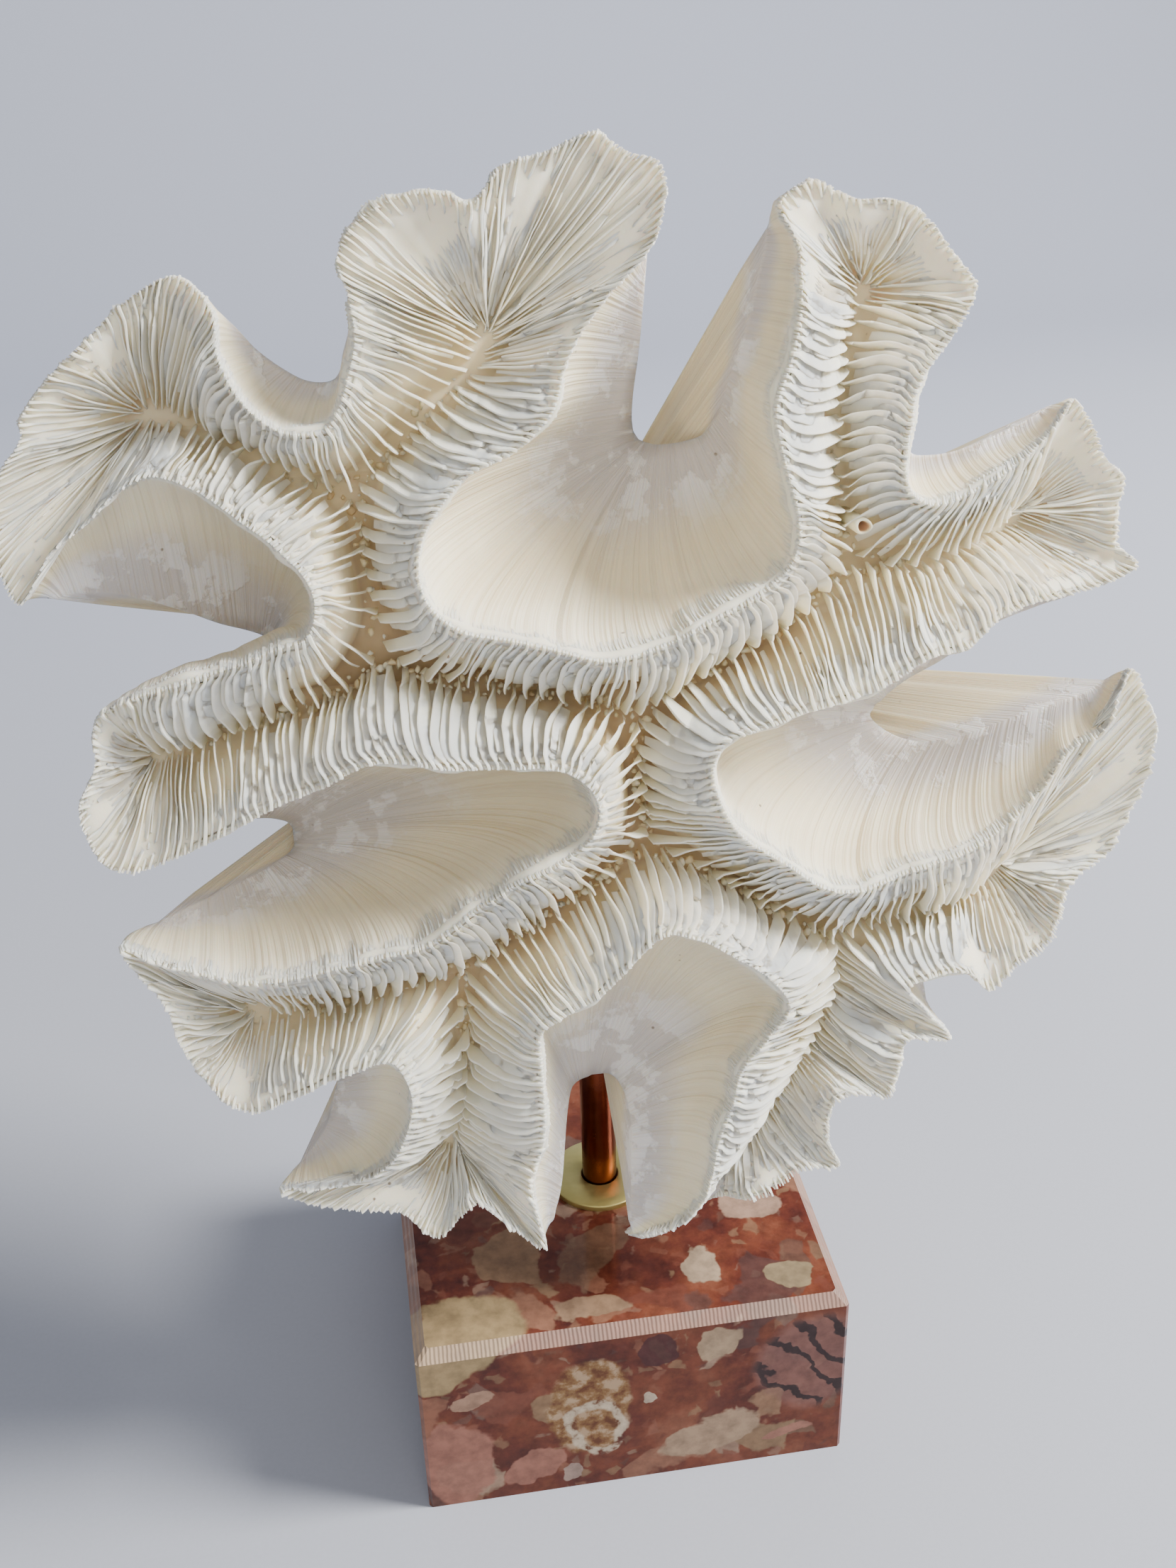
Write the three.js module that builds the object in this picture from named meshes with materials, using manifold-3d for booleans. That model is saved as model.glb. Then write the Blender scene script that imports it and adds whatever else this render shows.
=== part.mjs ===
// White brain coral on a copper rod, a brass disc and a polished breccia block.
// Millimetres, +Z up. The origin is the middle of the block's underside and the coral faces -Y.
import * as THREE from 'three';
import { mergeVertices } from 'three/addons/utils/BufferGeometryUtils.js';
import Module from 'manifold-3d';

const BLOCK_WIDTH = 100;
const BLOCK_HEIGHT = 50;
const BLOCK_CHAMFER = 2.6; // along the top edges
const BLOCK_CORNER = 0.8; // along the upright edges
const DISC_DIAMETER = 24.5;
const DISC_THICKNESS = 1.5;
const DISC_CHAMFER = 0.3;
const ROD_DIAMETER = 8.5;
const ROD_TOP = 150; // height of the rod's upper end, inside the coral
const ROD_CHAMFER = 0.5;
const GAP = 0.3; // between pieces that fit into or against each other

const CORAL_LEAN = THREE.MathUtils.degToRad(10); // the coral's face leans back
const CORAL_ORIGIN = [-6, 23, 175.5]; // middle of the coral's back
const DOME_HEIGHT = 66; // the ridges' crests lie on a shallow dome over the back
const DOME_FALL = 14; // how far the dome has fallen at DOME_RADIUS
const DOME_RADIUS = 105;
const VALLEY_DEPTH = 14;
const VALLEY_HALF_WIDTH = 2.2; // of the flat floor in the valleys
const VALLEY_BULGE = 1.6; // above 1, the valley sides are rounded outwards
const SEPTUM_RISE = 0.9; // coarse septa stand this far over the valley sides, and dip as far between
const WALL_SPREAD = 72; // distance from the middle where the outer walls become shallow
const WALL_MIN = 3; // depth of the outer wall at the farthest tips
const WALL_RANGE = 62;
const BACK_SCALE = 0.45; // the coral's back is its outline, drawn in by this factor

// One meandering wall bounds the coral. Each rib is a section across it, as seen from the front:
// crest of the ridge (u, v), middle of the valley inside it (u, v), foot of the outer wall (u, v),
// and, where the crest hangs below the dome, by how much. The ribs run clockwise, lobe by lobe.
const RIBS = {
  topRight: [
    [5, 24, 4, 13, 21, 57.5], [14.7, 25.3, 14, 14, 22.5, 57], [24, 29, 24, 18, 25, 57],
    [34, 33, 36, 22, 28, 57.5], [41, 38, 47, 29, 31, 58.5], [43, 45.5, 53, 40, 33, 60.5],
    [40.5, 57, 53.5, 53, 34.5, 64], [39.4, 67, 53.5, 65, 35.5, 70], [43, 75.6, 55, 74, 37.5, 77],
    [45.5, 86, 58, 81, 39.5, 87], [45.4, 95, 60, 85, 41.5, 95.5], [42.6, 102.3, 61, 86, 42.5, 99],
    [49.5, 106, 61, 87, 49, 102], [57, 102.5, 61.5, 87, 56.5, 99], [64.6, 102, 62, 87, 63.5, 98.5],
    [70.8, 98.8, 62.5, 86.5, 69, 95.5], [76.5, 91.6, 63, 86, 74, 89.5], [81, 85, 63, 85, 78, 84],
    [76.2, 77.5, 62, 83, 75.5, 79], [68.8, 69.7, 57, 72, 71.5, 71], [66.3, 62, 54.5, 62, 70, 64],
    [65, 53, 54, 52, 69.5, 57],
  ],
  rightUpper: [
    [67, 48, 56, 43, 70.5, 54.5], [71.8, 46.2, 64, 36, 72.5, 53.5], [79.8, 48.3, 76, 35, 79, 54],
    [88.6, 52.7, 85, 38.5, 88, 57], [96, 57.5, 91, 41, 95.5, 60], [101.5, 62.5, 93, 42, 99.5, 61.5],
    [106, 57, 94, 42, 102.5, 56], [108.4, 51, 94.5, 41.5, 104.5, 50.5],
    [112.8, 46.5, 95, 41, 108.5, 46], [111.5, 40, 95, 40.5, 107.5, 40],
    [112, 33.5, 95, 39.5, 108, 33.5], [116, 29, 94, 38.5, 111, 29.5], [107, 26, 92, 37, 105, 23.5],
    [99.6, 25.2, 89, 36, 98, 21.5], [91, 24.5, 84, 34.5, 90, 18.5], [84, 22.5, 79, 33, 85, 15],
    [77, 17.8, 73, 31.5, 79.5, 10], [69, 17, 67, 30.5, 73.5, 5.5], [62, 13.3, 60, 30, 70, 2],
    [53, 10.8, 50, 27.5, 68.5, 0], [44, 9.8, 41, 22.5, 67.5, -1], [35, 7.8, 30, 17.5, 67, -2],
  ],
  right: [
    [27.6, 6, 19, 11, 66.5, -3], [24.5, 1, 13.5, 2, 66.5, -3.8], [25.7, -6.5, 13, -6, 67, -4.6],
    [30.3, -14.7, 15, -16, 67.5, -5.2], [38.9, -21.5, 28, -29, 68.5, -6], [46.9, -28, 40, -36, 70, -7],
    [54, -30, 51, -40.5, 72.5, -8], [62, -28.9, 62, -42, 76, -8.5], [70, -27, 72, -41.5, 80.5, -7.5],
    [79.3, -25, 80, -40.5, 86, -5.5], [88, -20.8, 87, -38, 92, -3], [96, -14.4, 90, -36.5, 98, -1],
    [101.2, -8.2, 91.5, -35.5, 103, 0.5], [110, -3.5, 92, -35, 108.5, 2],
    [116.2, 7.2, 92.5, -34.5, 113, 4], [121, -1, 93, -34.5, 116.5, -1.5],
    [123.4, -8, 93, -34.5, 118.5, -8.5], [120, -21.5, 93, -35, 115.5, -21],
    [114.2, -32.5, 93, -35.5, 110.5, -32], [106.8, -37, 93, -36, 104, -36.5],
    [103, -41, 92.5, -37, 99.5, -41.5], [102.5, -47.6, 92, -38, 99, -47],
    [100.5, -53, 91, -39, 97, -51.5], [93, -56.5, 89, -40, 91.5, -54.5],
    [86.8, -61.2, 85, -41, 85.5, -58], [80.5, -54.8, 80, -41.5, 81, -56],
    [73, -53.8, 72, -42.5, 76, -57],
  ],
  lowerRight: [
    [66.5, -55.7, 60, -44, 73, -58.5], [71, -62, 56, -50, 74.5, -62], [78, -72, 54, -57, 74.5, -69.5],
    [68, -69, 53, -60, 69, -69.5], [65.8, -76, 51, -65, 65.5, -75], [64.5, -84.5, 49, -69, 62.5, -81.5],
    [58, -81, 47, -72.5, 58, -82], [51, -82.5, 45, -76, 53, -85], [50.5, -93, 42, -81, 49.5, -92],
    [53.5, -101.5, 40, -84.5, 50.5, -98.5], [46, -100, 38, -88, 45.5, -98.5],
    [40, -103.2, 36, -91, 39.5, -101], [33, -106, 34, -93, 33, -103],
    [28, -108, 31, -97, 28, -105.5, 5], [21, -113, 26, -103, 21, -110, 9],
    [13, -117, 19, -109, 13.5, -114, 11], [7.5, -116, 13, -113.5, 9, -113.5, 6],
    [9, -114.5, 14, -113, 6.5, -112, 2], [17, -111.5, 20, -108.5, 7, -108],
    [22, -105.5, 26, -102.5, 7.5, -102], [23.8, -97, 31, -95.5, 8, -96], [25, -88.5, 35, -89, 8.5, -91],
    [28, -78.5, 42, -79, 8.5, -86.5], [30, -69.5, 46, -71, 8, -83], [35.7, -61.7, 49, -63, 7, -80.5],
    [40, -55, 50, -54, 6, -79], [36, -47.5, 46, -45, 5, -78.3], [29, -41.3, 37, -36, 4, -78],
    [20.4, -35.3, 24, -26, 3, -78], [13.6, -34, 13, -21.5, 2, -78],
  ],
  bottomLeft: [
    [7, -39.5, 4, -25, 1, -78], [0.8, -45.5, -5, -30, 0, -78.3], [-5.7, -48.8, -15, -36, -1.5, -78.6],
    [-11.5, -52, -23, -42, -3, -79.3], [-12.3, -58, -25.5, -51, -4, -80.5],
    [-12, -66, -26, -61, -5, -83.5], [-12, -75, -26.5, -71, -6, -88], [-13, -84, -27.5, -79, -7, -94],
    [-15.5, -92, -28, -84, -8, -100], [-14.5, -101, -28.5, -87, -9.5, -105.5],
    [-13, -112.5, -29, -88, -11.5, -109.5], [-19, -106, -29, -88.5, -18.5, -103.5],
    [-26.5, -97, -30, -88.5, -26.5, -99.5], [-31, -100, -30.5, -88.5, -31, -99.5],
    [-36.5, -105, -31, -88.5, -36, -102], [-43, -98, -32, -88, -42.5, -97],
    [-52, -95.5, -33, -87.5, -51, -94], [-60, -93.5, -34, -87, -58.5, -91.5],
    [-68, -89.3, -35, -86, -64, -87.5], [-60, -88.3, -35.5, -85, -61, -83.5],
    [-52, -87.5, -36, -84, -58.5, -80.5], [-45.3, -83.3, -35, -82, -57, -78],
    [-41.5, -77.5, -31, -77.5, -56, -75.5], [-39, -69, -28, -68.5, -55, -72],
    [-39.5, -62, -26.5, -58, -54, -69.5],
  ],
  leftLower: [
    [-42.3, -56.8, -28, -44.5, -54, -67.5], [-48, -58.3, -40, -44.5, -56, -66],
    [-55.4, -61, -52, -48, -60, -65.5], [-63, -64.5, -61, -50, -64.5, -64.5],
    [-72.6, -67.4, -68, -50.5, -71, -64], [-79, -60.5, -70, -50.5, -75.5, -58.5],
    [-83.5, -50, -71, -50, -79.5, -49.5], [-85.6, -40.5, -71, -49, -81.5, -41],
    [-92, -28.5, -70.5, -48, -87, -30], [-84, -31.5, -69, -47.5, -82, -27.5],
    [-76, -34.5, -67, -47.5, -76, -26], [-68, -36.8, -64, -48, -70.5, -25],
    [-59, -36, -57.5, -48, -65, -24], [-50, -34, -49, -47, -61.5, -23.2],
    [-41, -32.3, -40.5, -45, -59.5, -22.3], [-32, -30, -30, -41.5, -58.5, -21.5],
    [-24, -24.5, -19, -37, -58, -20.8], [-14.5, -18.5, -9, -32, -58, -20.2],
    [-6, -15.3, 2, -25, -58, -19.7],
  ],
  left: [
    [0, -10.8, 11, -15, -58, -19.2], [1.9, -5, 12, -5, -58, -18.7], [-1, 1, 9, 7, -58, -18.2],
    [-7.3, 4.4, -1, 14, -58, -17.6], [-16, 4.8, -14, 17, -58.3, -16.8],
    [-25, 5.5, -24.5, 18.5, -59, -15.8], [-33, 7.3, -33, 21, -60.5, -14.8],
    [-41, 7.6, -41, 19.5, -62.5, -13.8], [-50, 3.5, -49, 17, -65.5, -12.8],
    [-59, 0.2, -58, 14, -69.5, -11.5], [-68, -4.2, -67, 11.5, -74, -10.5],
    [-78, -8.8, -75.5, 9, -80, -9.5], [-86, -11.3, -79.5, 8, -85, -9],
    [-92.5, -9.5, -81, 7.5, -89.5, -7], [-95.8, 0.5, -82, 7, -92, 1], [-91.5, 9.5, -82, 7.5, -88, 8.5],
    [-90, 18.4, -81.5, 8, -86.5, 15.5], [-84, 22.5, -80, 9, -82.5, 18.5], [-74, 25, -73, 11, -76, 19.5],
    [-64, 27.7, -63.5, 13.5, -69.5, 20.5], [-55, 30.8, -54.5, 16, -64, 21.5],
    [-50, 32.3, -46, 18.5, -61, 22.2],
  ],
  upperLeft: [
    [-47.7, 37, -37.5, 30, -59, 23.2], [-48.4, 42.4, -37.5, 43, -58.5, 24.2],
    [-53, 48.3, -40, 53, -59.5, 25.5], [-60, 54.5, -51, 60.5, -62.5, 27.5],
    [-67, 60, -61, 66.5, -67, 30], [-74, 62.5, -68.5, 69.5, -73, 34],
    [-80, 60.2, -72.5, 70.5, -79.5, 37.5], [-87, 54.5, -74, 71, -86, 40],
    [-94, 49.5, -75, 71, -92, 40.5], [-101, 40.5, -75.5, 70.5, -97, 40.5],
    [-104, 50, -76, 70.5, -99, 50], [-102.5, 62, -76, 71, -98, 61], [-97, 69, -76, 71.5, -93, 67.5],
    [-95.5, 74, -76, 72, -91.5, 72], [-90, 80.3, -75.5, 72.5, -86.5, 78],
    [-82, 87, -75, 72.5, -79.5, 84], [-74.8, 92.6, -74, 72.5, -73, 89],
    [-66, 96.2, -72.5, 72.5, -65, 92.5], [-60.2, 90.5, -69, 71.5, -58, 88],
    [-59.8, 81.5, -64, 70, -53.5, 82.5], [-56, 73.5, -56.5, 65.5, -49, 78.5],
    [-50, 69, -48.5, 61, -45, 76],
  ],
  topLeft: [
    [-43, 68.8, -40, 57.5, -41, 75.5], [-39.8, 72.5, -33, 61.5, -39, 77],
    [-37.5, 78, -25, 69, -38, 80.5], [-35.8, 84, -19, 76, -36.5, 85], [-36.2, 91, -16, 80, -36, 90.5],
    [-37.5, 98, -14.5, 83, -34.5, 95.5], [-33, 104, -13.5, 84.5, -31, 100.5],
    [-25, 107.5, -12.5, 85, -24, 103.5], [-18, 107.3, -12, 85.5, -17.5, 103.5],
    [-13, 105.5, -11.5, 85.5, -12.5, 102], [-7.5, 111, -11, 85.5, -7, 107],
    [0.5, 113, -10.5, 85.5, 0.5, 109], [9, 116, -10, 85, 8.5, 111.5],
    [15.5, 112.5, -9.5, 85, 14.5, 109], [21.4, 110, -9, 84.5, 18.5, 106.5],
    [20.8, 101.5, -8.5, 83.5, 19.5, 99.5], [17, 95, -8.5, 82.5, 19, 92], [10, 89, -9, 81, 18.5, 84.5],
    [2, 79.5, -11, 77.5, 18, 76], [-2, 70, -15, 73.5, 17.5, 69], [-9, 63, -22, 69, 17.5, 64],
    [-17.3, 60, -29, 64, 17.8, 61.5], [-24, 54, -36.5, 57, 18.2, 60], [-28, 46, -37.5, 45.5, 18.8, 59],
    [-27.5, 37.5, -36, 33, 19.3, 58.3], [-21.5, 31.8, -29, 22.5, 19.8, 58],
    [-12, 29.3, -16, 17.5, 20.2, 57.8], [-4, 26.8, -5.5, 15, 20.6, 57.6],
  ],
};

// The inlets between the lobes, from their inner ends outwards.
const INLETS = {
  top: [[23, 57], [26, 70], [31, 100], [32, 140]],
  topLeft: [[-43, 68.8], [-42, 76], [-44, 82], [-47, 92], [-50, 140]],
  upperLeft: [[-48, 38], [-56, 33.2], [-66, 30], [-140, 28]],
  left: [[-58, -18.5], [-140, -22]],
  lowerLeft: [[-42.3, -56.8], [-54, -68.5], [-75, -78], [-140, -112]],
  bottom: [[2, -78], [0, -140]],
  lowerRight: [[66.5, -55.7], [74, -59], [145, -85]],
  right: [[66.5, -3.5], [80, 1], [98, 10], [145, 17]],
  upperRight: [[67, 48], [70.5, 55.5], [79, 67], [140, 125]],
};

// Each lobe lies between two inlets and ends at its fork: [inlet, far corner, inlet, fork].
const LOBES = {
  lobe_top_right: ['upperRight', [[140, 140]], 'top', [[42.5, 42]]],
  lobe_top_left: ['top', [], 'topLeft', [[-25.5, 52.4]]],
  lobe_upper_left: ['topLeft', [[-140, 140]], 'upperLeft', []],
  lobe_left: ['upperLeft', [], 'left', [[-41, 7.6]]],
  lobe_left_lower: ['left', [], 'lowerLeft', [[-32, -30]]],
  lobe_bottom_left: ['lowerLeft', [[-140, -140]], 'bottom', [[-11.5, -52]]],
  lobe_lower_right: ['bottom', [[145, -140]], 'lowerRight', [[36, -47.5]]],
  lobe_right: ['lowerRight', [], 'right', [[46.9, -28]]],
  lobe_right_upper: ['right', [], 'upperRight', [[53, 10.8]]],
};

const wasm = await Module();
wasm.setup();

function toSolid(geometry) {
  geometry.deleteAttribute('normal');
  geometry.deleteAttribute('uv');
  const merged = mergeVertices(geometry, 1e-4);
  return new wasm.Manifold(new wasm.Mesh({
    numProp: 3,
    vertProperties: new Float32Array(merged.attributes.position.array),
    triVerts: new Uint32Array(merged.index.array),
  }));
}

function toGeometry(solid) {
  const { numProp, vertProperties, triVerts } = solid.getMesh();
  const positions = [];
  for (let i = 0; i < vertProperties.length; i += numProp) {
    positions.push(vertProperties[i], vertProperties[i + 1], vertProperties[i + 2]);
  }
  const geometry = new THREE.BufferGeometry();
  geometry.setAttribute('position', new THREE.Float32BufferAttribute(positions, 3));
  geometry.setIndex(Array.from(triVerts));
  geometry.computeVertexNormals();
  return geometry;
}

// Closed solid through a stack of anticlockwise loops. From one loop to the next the number of
// points stays the same, doubles or halves.
function loft(loops) {
  const index = [];
  const starts = [];
  let total = 0;
  for (const loop of loops) {
    starts.push(total);
    total += loop.length;
  }
  for (let k = 0; k + 1 < loops.length; k++) {
    const [lower, upper] = [loops[k].length, loops[k + 1].length];
    const low = (i) => starts[k] + (i % lower);
    const high = (i) => starts[k + 1] + (i % upper);
    for (let i = 0; i < Math.min(lower, upper); i++) {
      const j = i + 1;
      if (lower === upper) index.push(low(i), low(j), high(j), low(i), high(j), high(i));
      if (lower < upper) {
        index.push(low(i), low(j), high(i + j), low(i), high(i + j), high(2 * i));
        index.push(low(j), high(2 * j), high(i + j));
      }
      if (lower > upper) {
        index.push(low(2 * i), low(i + j), high(i), low(i + j), high(j), high(i));
        index.push(low(i + j), low(2 * j), high(j));
      }
    }
  }
  const cap = (loop, first, facing) => {
    const contour = loop.map((p) => new THREE.Vector2(p.x, p.y));
    for (const [a, b, c] of THREE.ShapeUtils.triangulateShape(contour, [])) {
      const turn = THREE.ShapeUtils.area([contour[a], contour[b], contour[c]]);
      index.push(first + a, ...(turn * facing > 0 ? [first + b, first + c] : [first + c, first + b]));
    }
  };
  cap(loops[0], 0, -1);
  cap(loops.at(-1), starts.at(-1), 1);
  const geometry = new THREE.BufferGeometry();
  const positions = loops.flat().flatMap((p) => [p.x, p.y, p.z]);
  geometry.setAttribute('position', new THREE.Float32BufferAttribute(positions, 3));
  geometry.setIndex(index);
  return geometry;
}

const dome = (u, v) => DOME_HEIGHT - (DOME_FALL * (u * u + v * v)) / DOME_RADIUS ** 2;
const wallDepth = (r) => WALL_MIN + WALL_RANGE * Math.exp(-((r / WALL_SPREAD) ** 2.6));

// Section of the coral at one place along the ridge, from the back, over the crest, to the valley.
function section(crest, valley, back, rise) {
  const side = crest.clone().sub(valley).setZ(0).normalize();
  const foot = valley.clone().addScaledVector(side, VALLEY_HALF_WIDTH);
  const inner = (s) => {
    const p = foot.clone().lerp(crest, s);
    return p.setZ(foot.z + (crest.z - foot.z) * (1 - (1 - s) ** VALLEY_BULGE) + rise * Math.min(1, 2 * s));
  };
  const outer = (t) => {
    const p = crest.clone().lerp(back, 1 - Math.cos((t * Math.PI) / 2));
    return p.setZ(crest.z + (back.z - crest.z) * Math.sin((t * Math.PI) / 2));
  };
  const rear = back.clone().multiplyScalar(BACK_SCALE).setZ(0);
  return [rear, back, outer(0.7), outer(0.35), inner(1), inner(0.75), inner(0.4), foot];
}

function coralSolid() {
  const ribs = Object.values(RIBS).flat().reverse();
  const through = (point) => new THREE.CatmullRomCurve3(ribs.map(point), true, 'catmullrom', 0.5);
  const crest = through(([u, v, , , , , drop = 0]) => new THREE.Vector3(u, v, dome(u, v) - drop));
  const valley = through(([, , u, v]) => new THREE.Vector3(u, v, dome(u, v) - VALLEY_DEPTH));
  const back = through(([, , , , u, v]) => new THREE.Vector3(u, v, dome(u, v) - wallDepth(Math.hypot(u, v))));
  const sections = [];
  for (let i = 0; i < 2 * ribs.length; i++) {
    const t = i / (2 * ribs.length);
    const rise = i % 2 === 0 ? SEPTUM_RISE : -SEPTUM_RISE;
    sections.push(section(crest.getPoint(t), valley.getPoint(t), back.getPoint(t), rise));
  }
  const loops = sections[0].map((_, k) => sections.map((points) => points[k]));
  const everyOther = (loop) => loop.filter((_, i) => i % 2 === 0);
  const [rear, foot, wall, ...front] = loops;
  const floor = front.pop();
  return toSolid(loft([everyOther(rear), everyOther(foot), everyOther(wall), ...front, everyOther(floor)]));
}

// Upright prism over an outline that is grown outwards by a margin.
function prism(outline, margin) {
  const points = outline.map(([u, v]) => new THREE.Vector2(u, v));
  const grown = points.map((p, i) => {
    const before = p.clone().sub(points.at(i - 1)).normalize();
    const after = points[(i + 1) % points.length].clone().sub(p).normalize();
    const out = new THREE.Vector2(before.y + after.y, -before.x - after.x);
    return p.clone().addScaledVector(out, margin / (1 + before.dot(after)));
  });
  const level = (z) => grown.map((p) => new THREE.Vector3(p.x, p.y, z));
  return toSolid(loft([level(-DOME_HEIGHT), level(2 * DOME_HEIGHT)]));
}

function largestBody(solid) {
  return solid.decompose().sort((a, b) => b.volume() - a.volume())[0];
}

function rodGeometry(radius, bottom, top, chamfer) {
  const profile = [[0, bottom], [radius, bottom], [radius, top - chamfer], [radius - chamfer, top], [0, top]];
  return new THREE.LatheGeometry(profile.map(([x, y]) => new THREE.Vector2(x, y)), 32).rotateX(Math.PI / 2);
}

function discGeometry() {
  const inside = ROD_DIAMETER / 2 + GAP;
  const outside = DISC_DIAMETER / 2;
  const profile = [
    [inside, 0], [outside, 0], [outside, DISC_THICKNESS - DISC_CHAMFER],
    [outside - DISC_CHAMFER, DISC_THICKNESS], [inside, DISC_THICKNESS], [inside, 0],
  ];
  return new THREE.LatheGeometry(profile.map(([x, y]) => new THREE.Vector2(x, y)), 32).rotateX(Math.PI / 2);
}

function blockGeometry() {
  const level = (half, z) => {
    const cut = half - BLOCK_CORNER;
    const right = [[half, -cut], [half, cut], [cut, half]];
    const left = [[-cut, half], [-half, cut], [-half, -cut]];
    return [...right, ...left, [-cut, -half], [cut, -half]].map(([x, y]) => new THREE.Vector3(x, y, z));
  };
  const half = BLOCK_WIDTH / 2;
  return loft([
    level(half, 0), level(half, BLOCK_HEIGHT - BLOCK_CHAMFER), level(half - BLOCK_CHAMFER, BLOCK_HEIGHT),
  ]);
}

function addMesh(parent, name, geometry, material) {
  const mesh = new THREE.Mesh(geometry, new THREE.MeshStandardMaterial(material));
  mesh.name = name;
  parent.add(mesh);
  return mesh;
}

const root = new THREE.Group();
addMesh(root, 'marble_base', blockGeometry(), { color: '#8f5546', roughness: 0.2, metalness: 0 });
addMesh(root, 'brass_disc', discGeometry(), { color: '#8c7f4a', roughness: 0.4, metalness: 1 })
  .position.z = BLOCK_HEIGHT;
addMesh(root, 'copper_rod', rodGeometry(ROD_DIAMETER / 2, BLOCK_HEIGHT, ROD_TOP, ROD_CHAMFER),
  { color: '#6e3323', roughness: 0.3, metalness: 1 });

const coralGroup = new THREE.Group();
coralGroup.position.set(...CORAL_ORIGIN);
coralGroup.rotation.x = Math.PI / 2 - CORAL_LEAN;
coralGroup.updateMatrix();
root.add(coralGroup);

// The rod's upper end sits in a blind hole in the coral's back.
const hole = rodGeometry(ROD_DIAMETER / 2 + GAP, BLOCK_HEIGHT, ROD_TOP + GAP, ROD_CHAMFER)
  .applyMatrix4(coralGroup.matrix.clone().invert());
const coral = coralSolid().subtract(toSolid(hole));

const coralLook = { color: '#ece6d9', roughness: 0.75, metalness: 0 };
let core = coral;
for (const [name, [first, corner, second, fork]] of Object.entries(LOBES)) {
  const outline = [...INLETS[first], ...corner, ...INLETS[second].toReversed(), ...fork];
  core = core.subtract(prism(outline, GAP / 2));
  addMesh(coralGroup, name, toGeometry(largestBody(coral.intersect(prism(outline, -GAP / 2)))), coralLook);
}
addMesh(coralGroup, 'coral_core', toGeometry(largestBody(core)), coralLook);

export default root;
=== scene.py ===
"""White brain coral on a copper rod and a polished breccia block, in metres, +Z up."""
import math

import bpy
import numpy as np
from mathutils import Matrix, Vector
from mathutils.geometry import tessellate_polygon


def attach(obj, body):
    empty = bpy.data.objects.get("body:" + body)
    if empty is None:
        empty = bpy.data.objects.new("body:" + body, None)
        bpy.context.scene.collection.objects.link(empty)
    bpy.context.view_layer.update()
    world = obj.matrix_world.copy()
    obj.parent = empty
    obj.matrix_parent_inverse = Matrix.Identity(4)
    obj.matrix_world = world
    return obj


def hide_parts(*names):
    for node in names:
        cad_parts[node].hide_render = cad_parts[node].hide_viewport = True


MM = 0.001
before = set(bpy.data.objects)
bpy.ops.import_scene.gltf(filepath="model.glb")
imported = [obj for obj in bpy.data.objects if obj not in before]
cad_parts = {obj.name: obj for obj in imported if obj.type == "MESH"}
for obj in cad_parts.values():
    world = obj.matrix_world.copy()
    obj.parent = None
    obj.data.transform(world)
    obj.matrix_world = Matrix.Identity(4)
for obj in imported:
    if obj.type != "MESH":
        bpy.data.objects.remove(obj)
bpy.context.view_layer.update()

# The coral's own frame: u to the right, v up its face, w out of its face (mm).
CORAL_LEAN = math.radians(10)
CORAL_ORIGIN = np.array((-6.0, 23.0, 175.5))
AXIS_U = np.array((1.0, 0.0, 0.0))
AXIS_V = np.array((0.0, math.sin(CORAL_LEAN), math.cos(CORAL_LEAN)))
AXIS_W = np.array((0.0, -math.cos(CORAL_LEAN), math.sin(CORAL_LEAN)))
DOME_HEIGHT = 66.0
DOME_FALL = 14.0
DOME_RADIUS = 105.0
VALLEY_DEPTH = 14.0
VALLEY_HALF_WIDTH = 2.2
VALLEY_FILL = 4.5  # how far the septa fill the valleys up
LOBE_FILL = 2.2  # the same, more of it out on the lobes
EDGE_BULGE = 1.9
WALL_SPREAD = 72.0
WALL_MIN = 3.0
WALL_RANGE = 62.0
WALL_POWER = 2.6
BACK_SCALE = 0.45

WALL_STEP = 1.32  # along the crest, between sections of the wall's mesh
SEPTUM_STEP = 0.74  # along the crest, between one septum and the next
SEPTA_SEED = 7
TOOTH_COUNT = 40  # random teeth to a septum
FINE_STEP = 0.02  # in ribs, for measuring along the crest
EVEN_STEP = 0.5  # for averaging along the crest
AVERAGE_CREST = 7
AVERAGE_PAST = 4
FACING_LIMIT = 0.2  # two walls face each other when their sides' product is below this
FACING_WIDTH = 2.5
FACING_BEHIND = -6
PAST_RANGE = (-2.5, 5.0)
RIB_COLUMNS = 7
TUBE_SIDES = 28
LATHE_SIDES = 96

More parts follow.
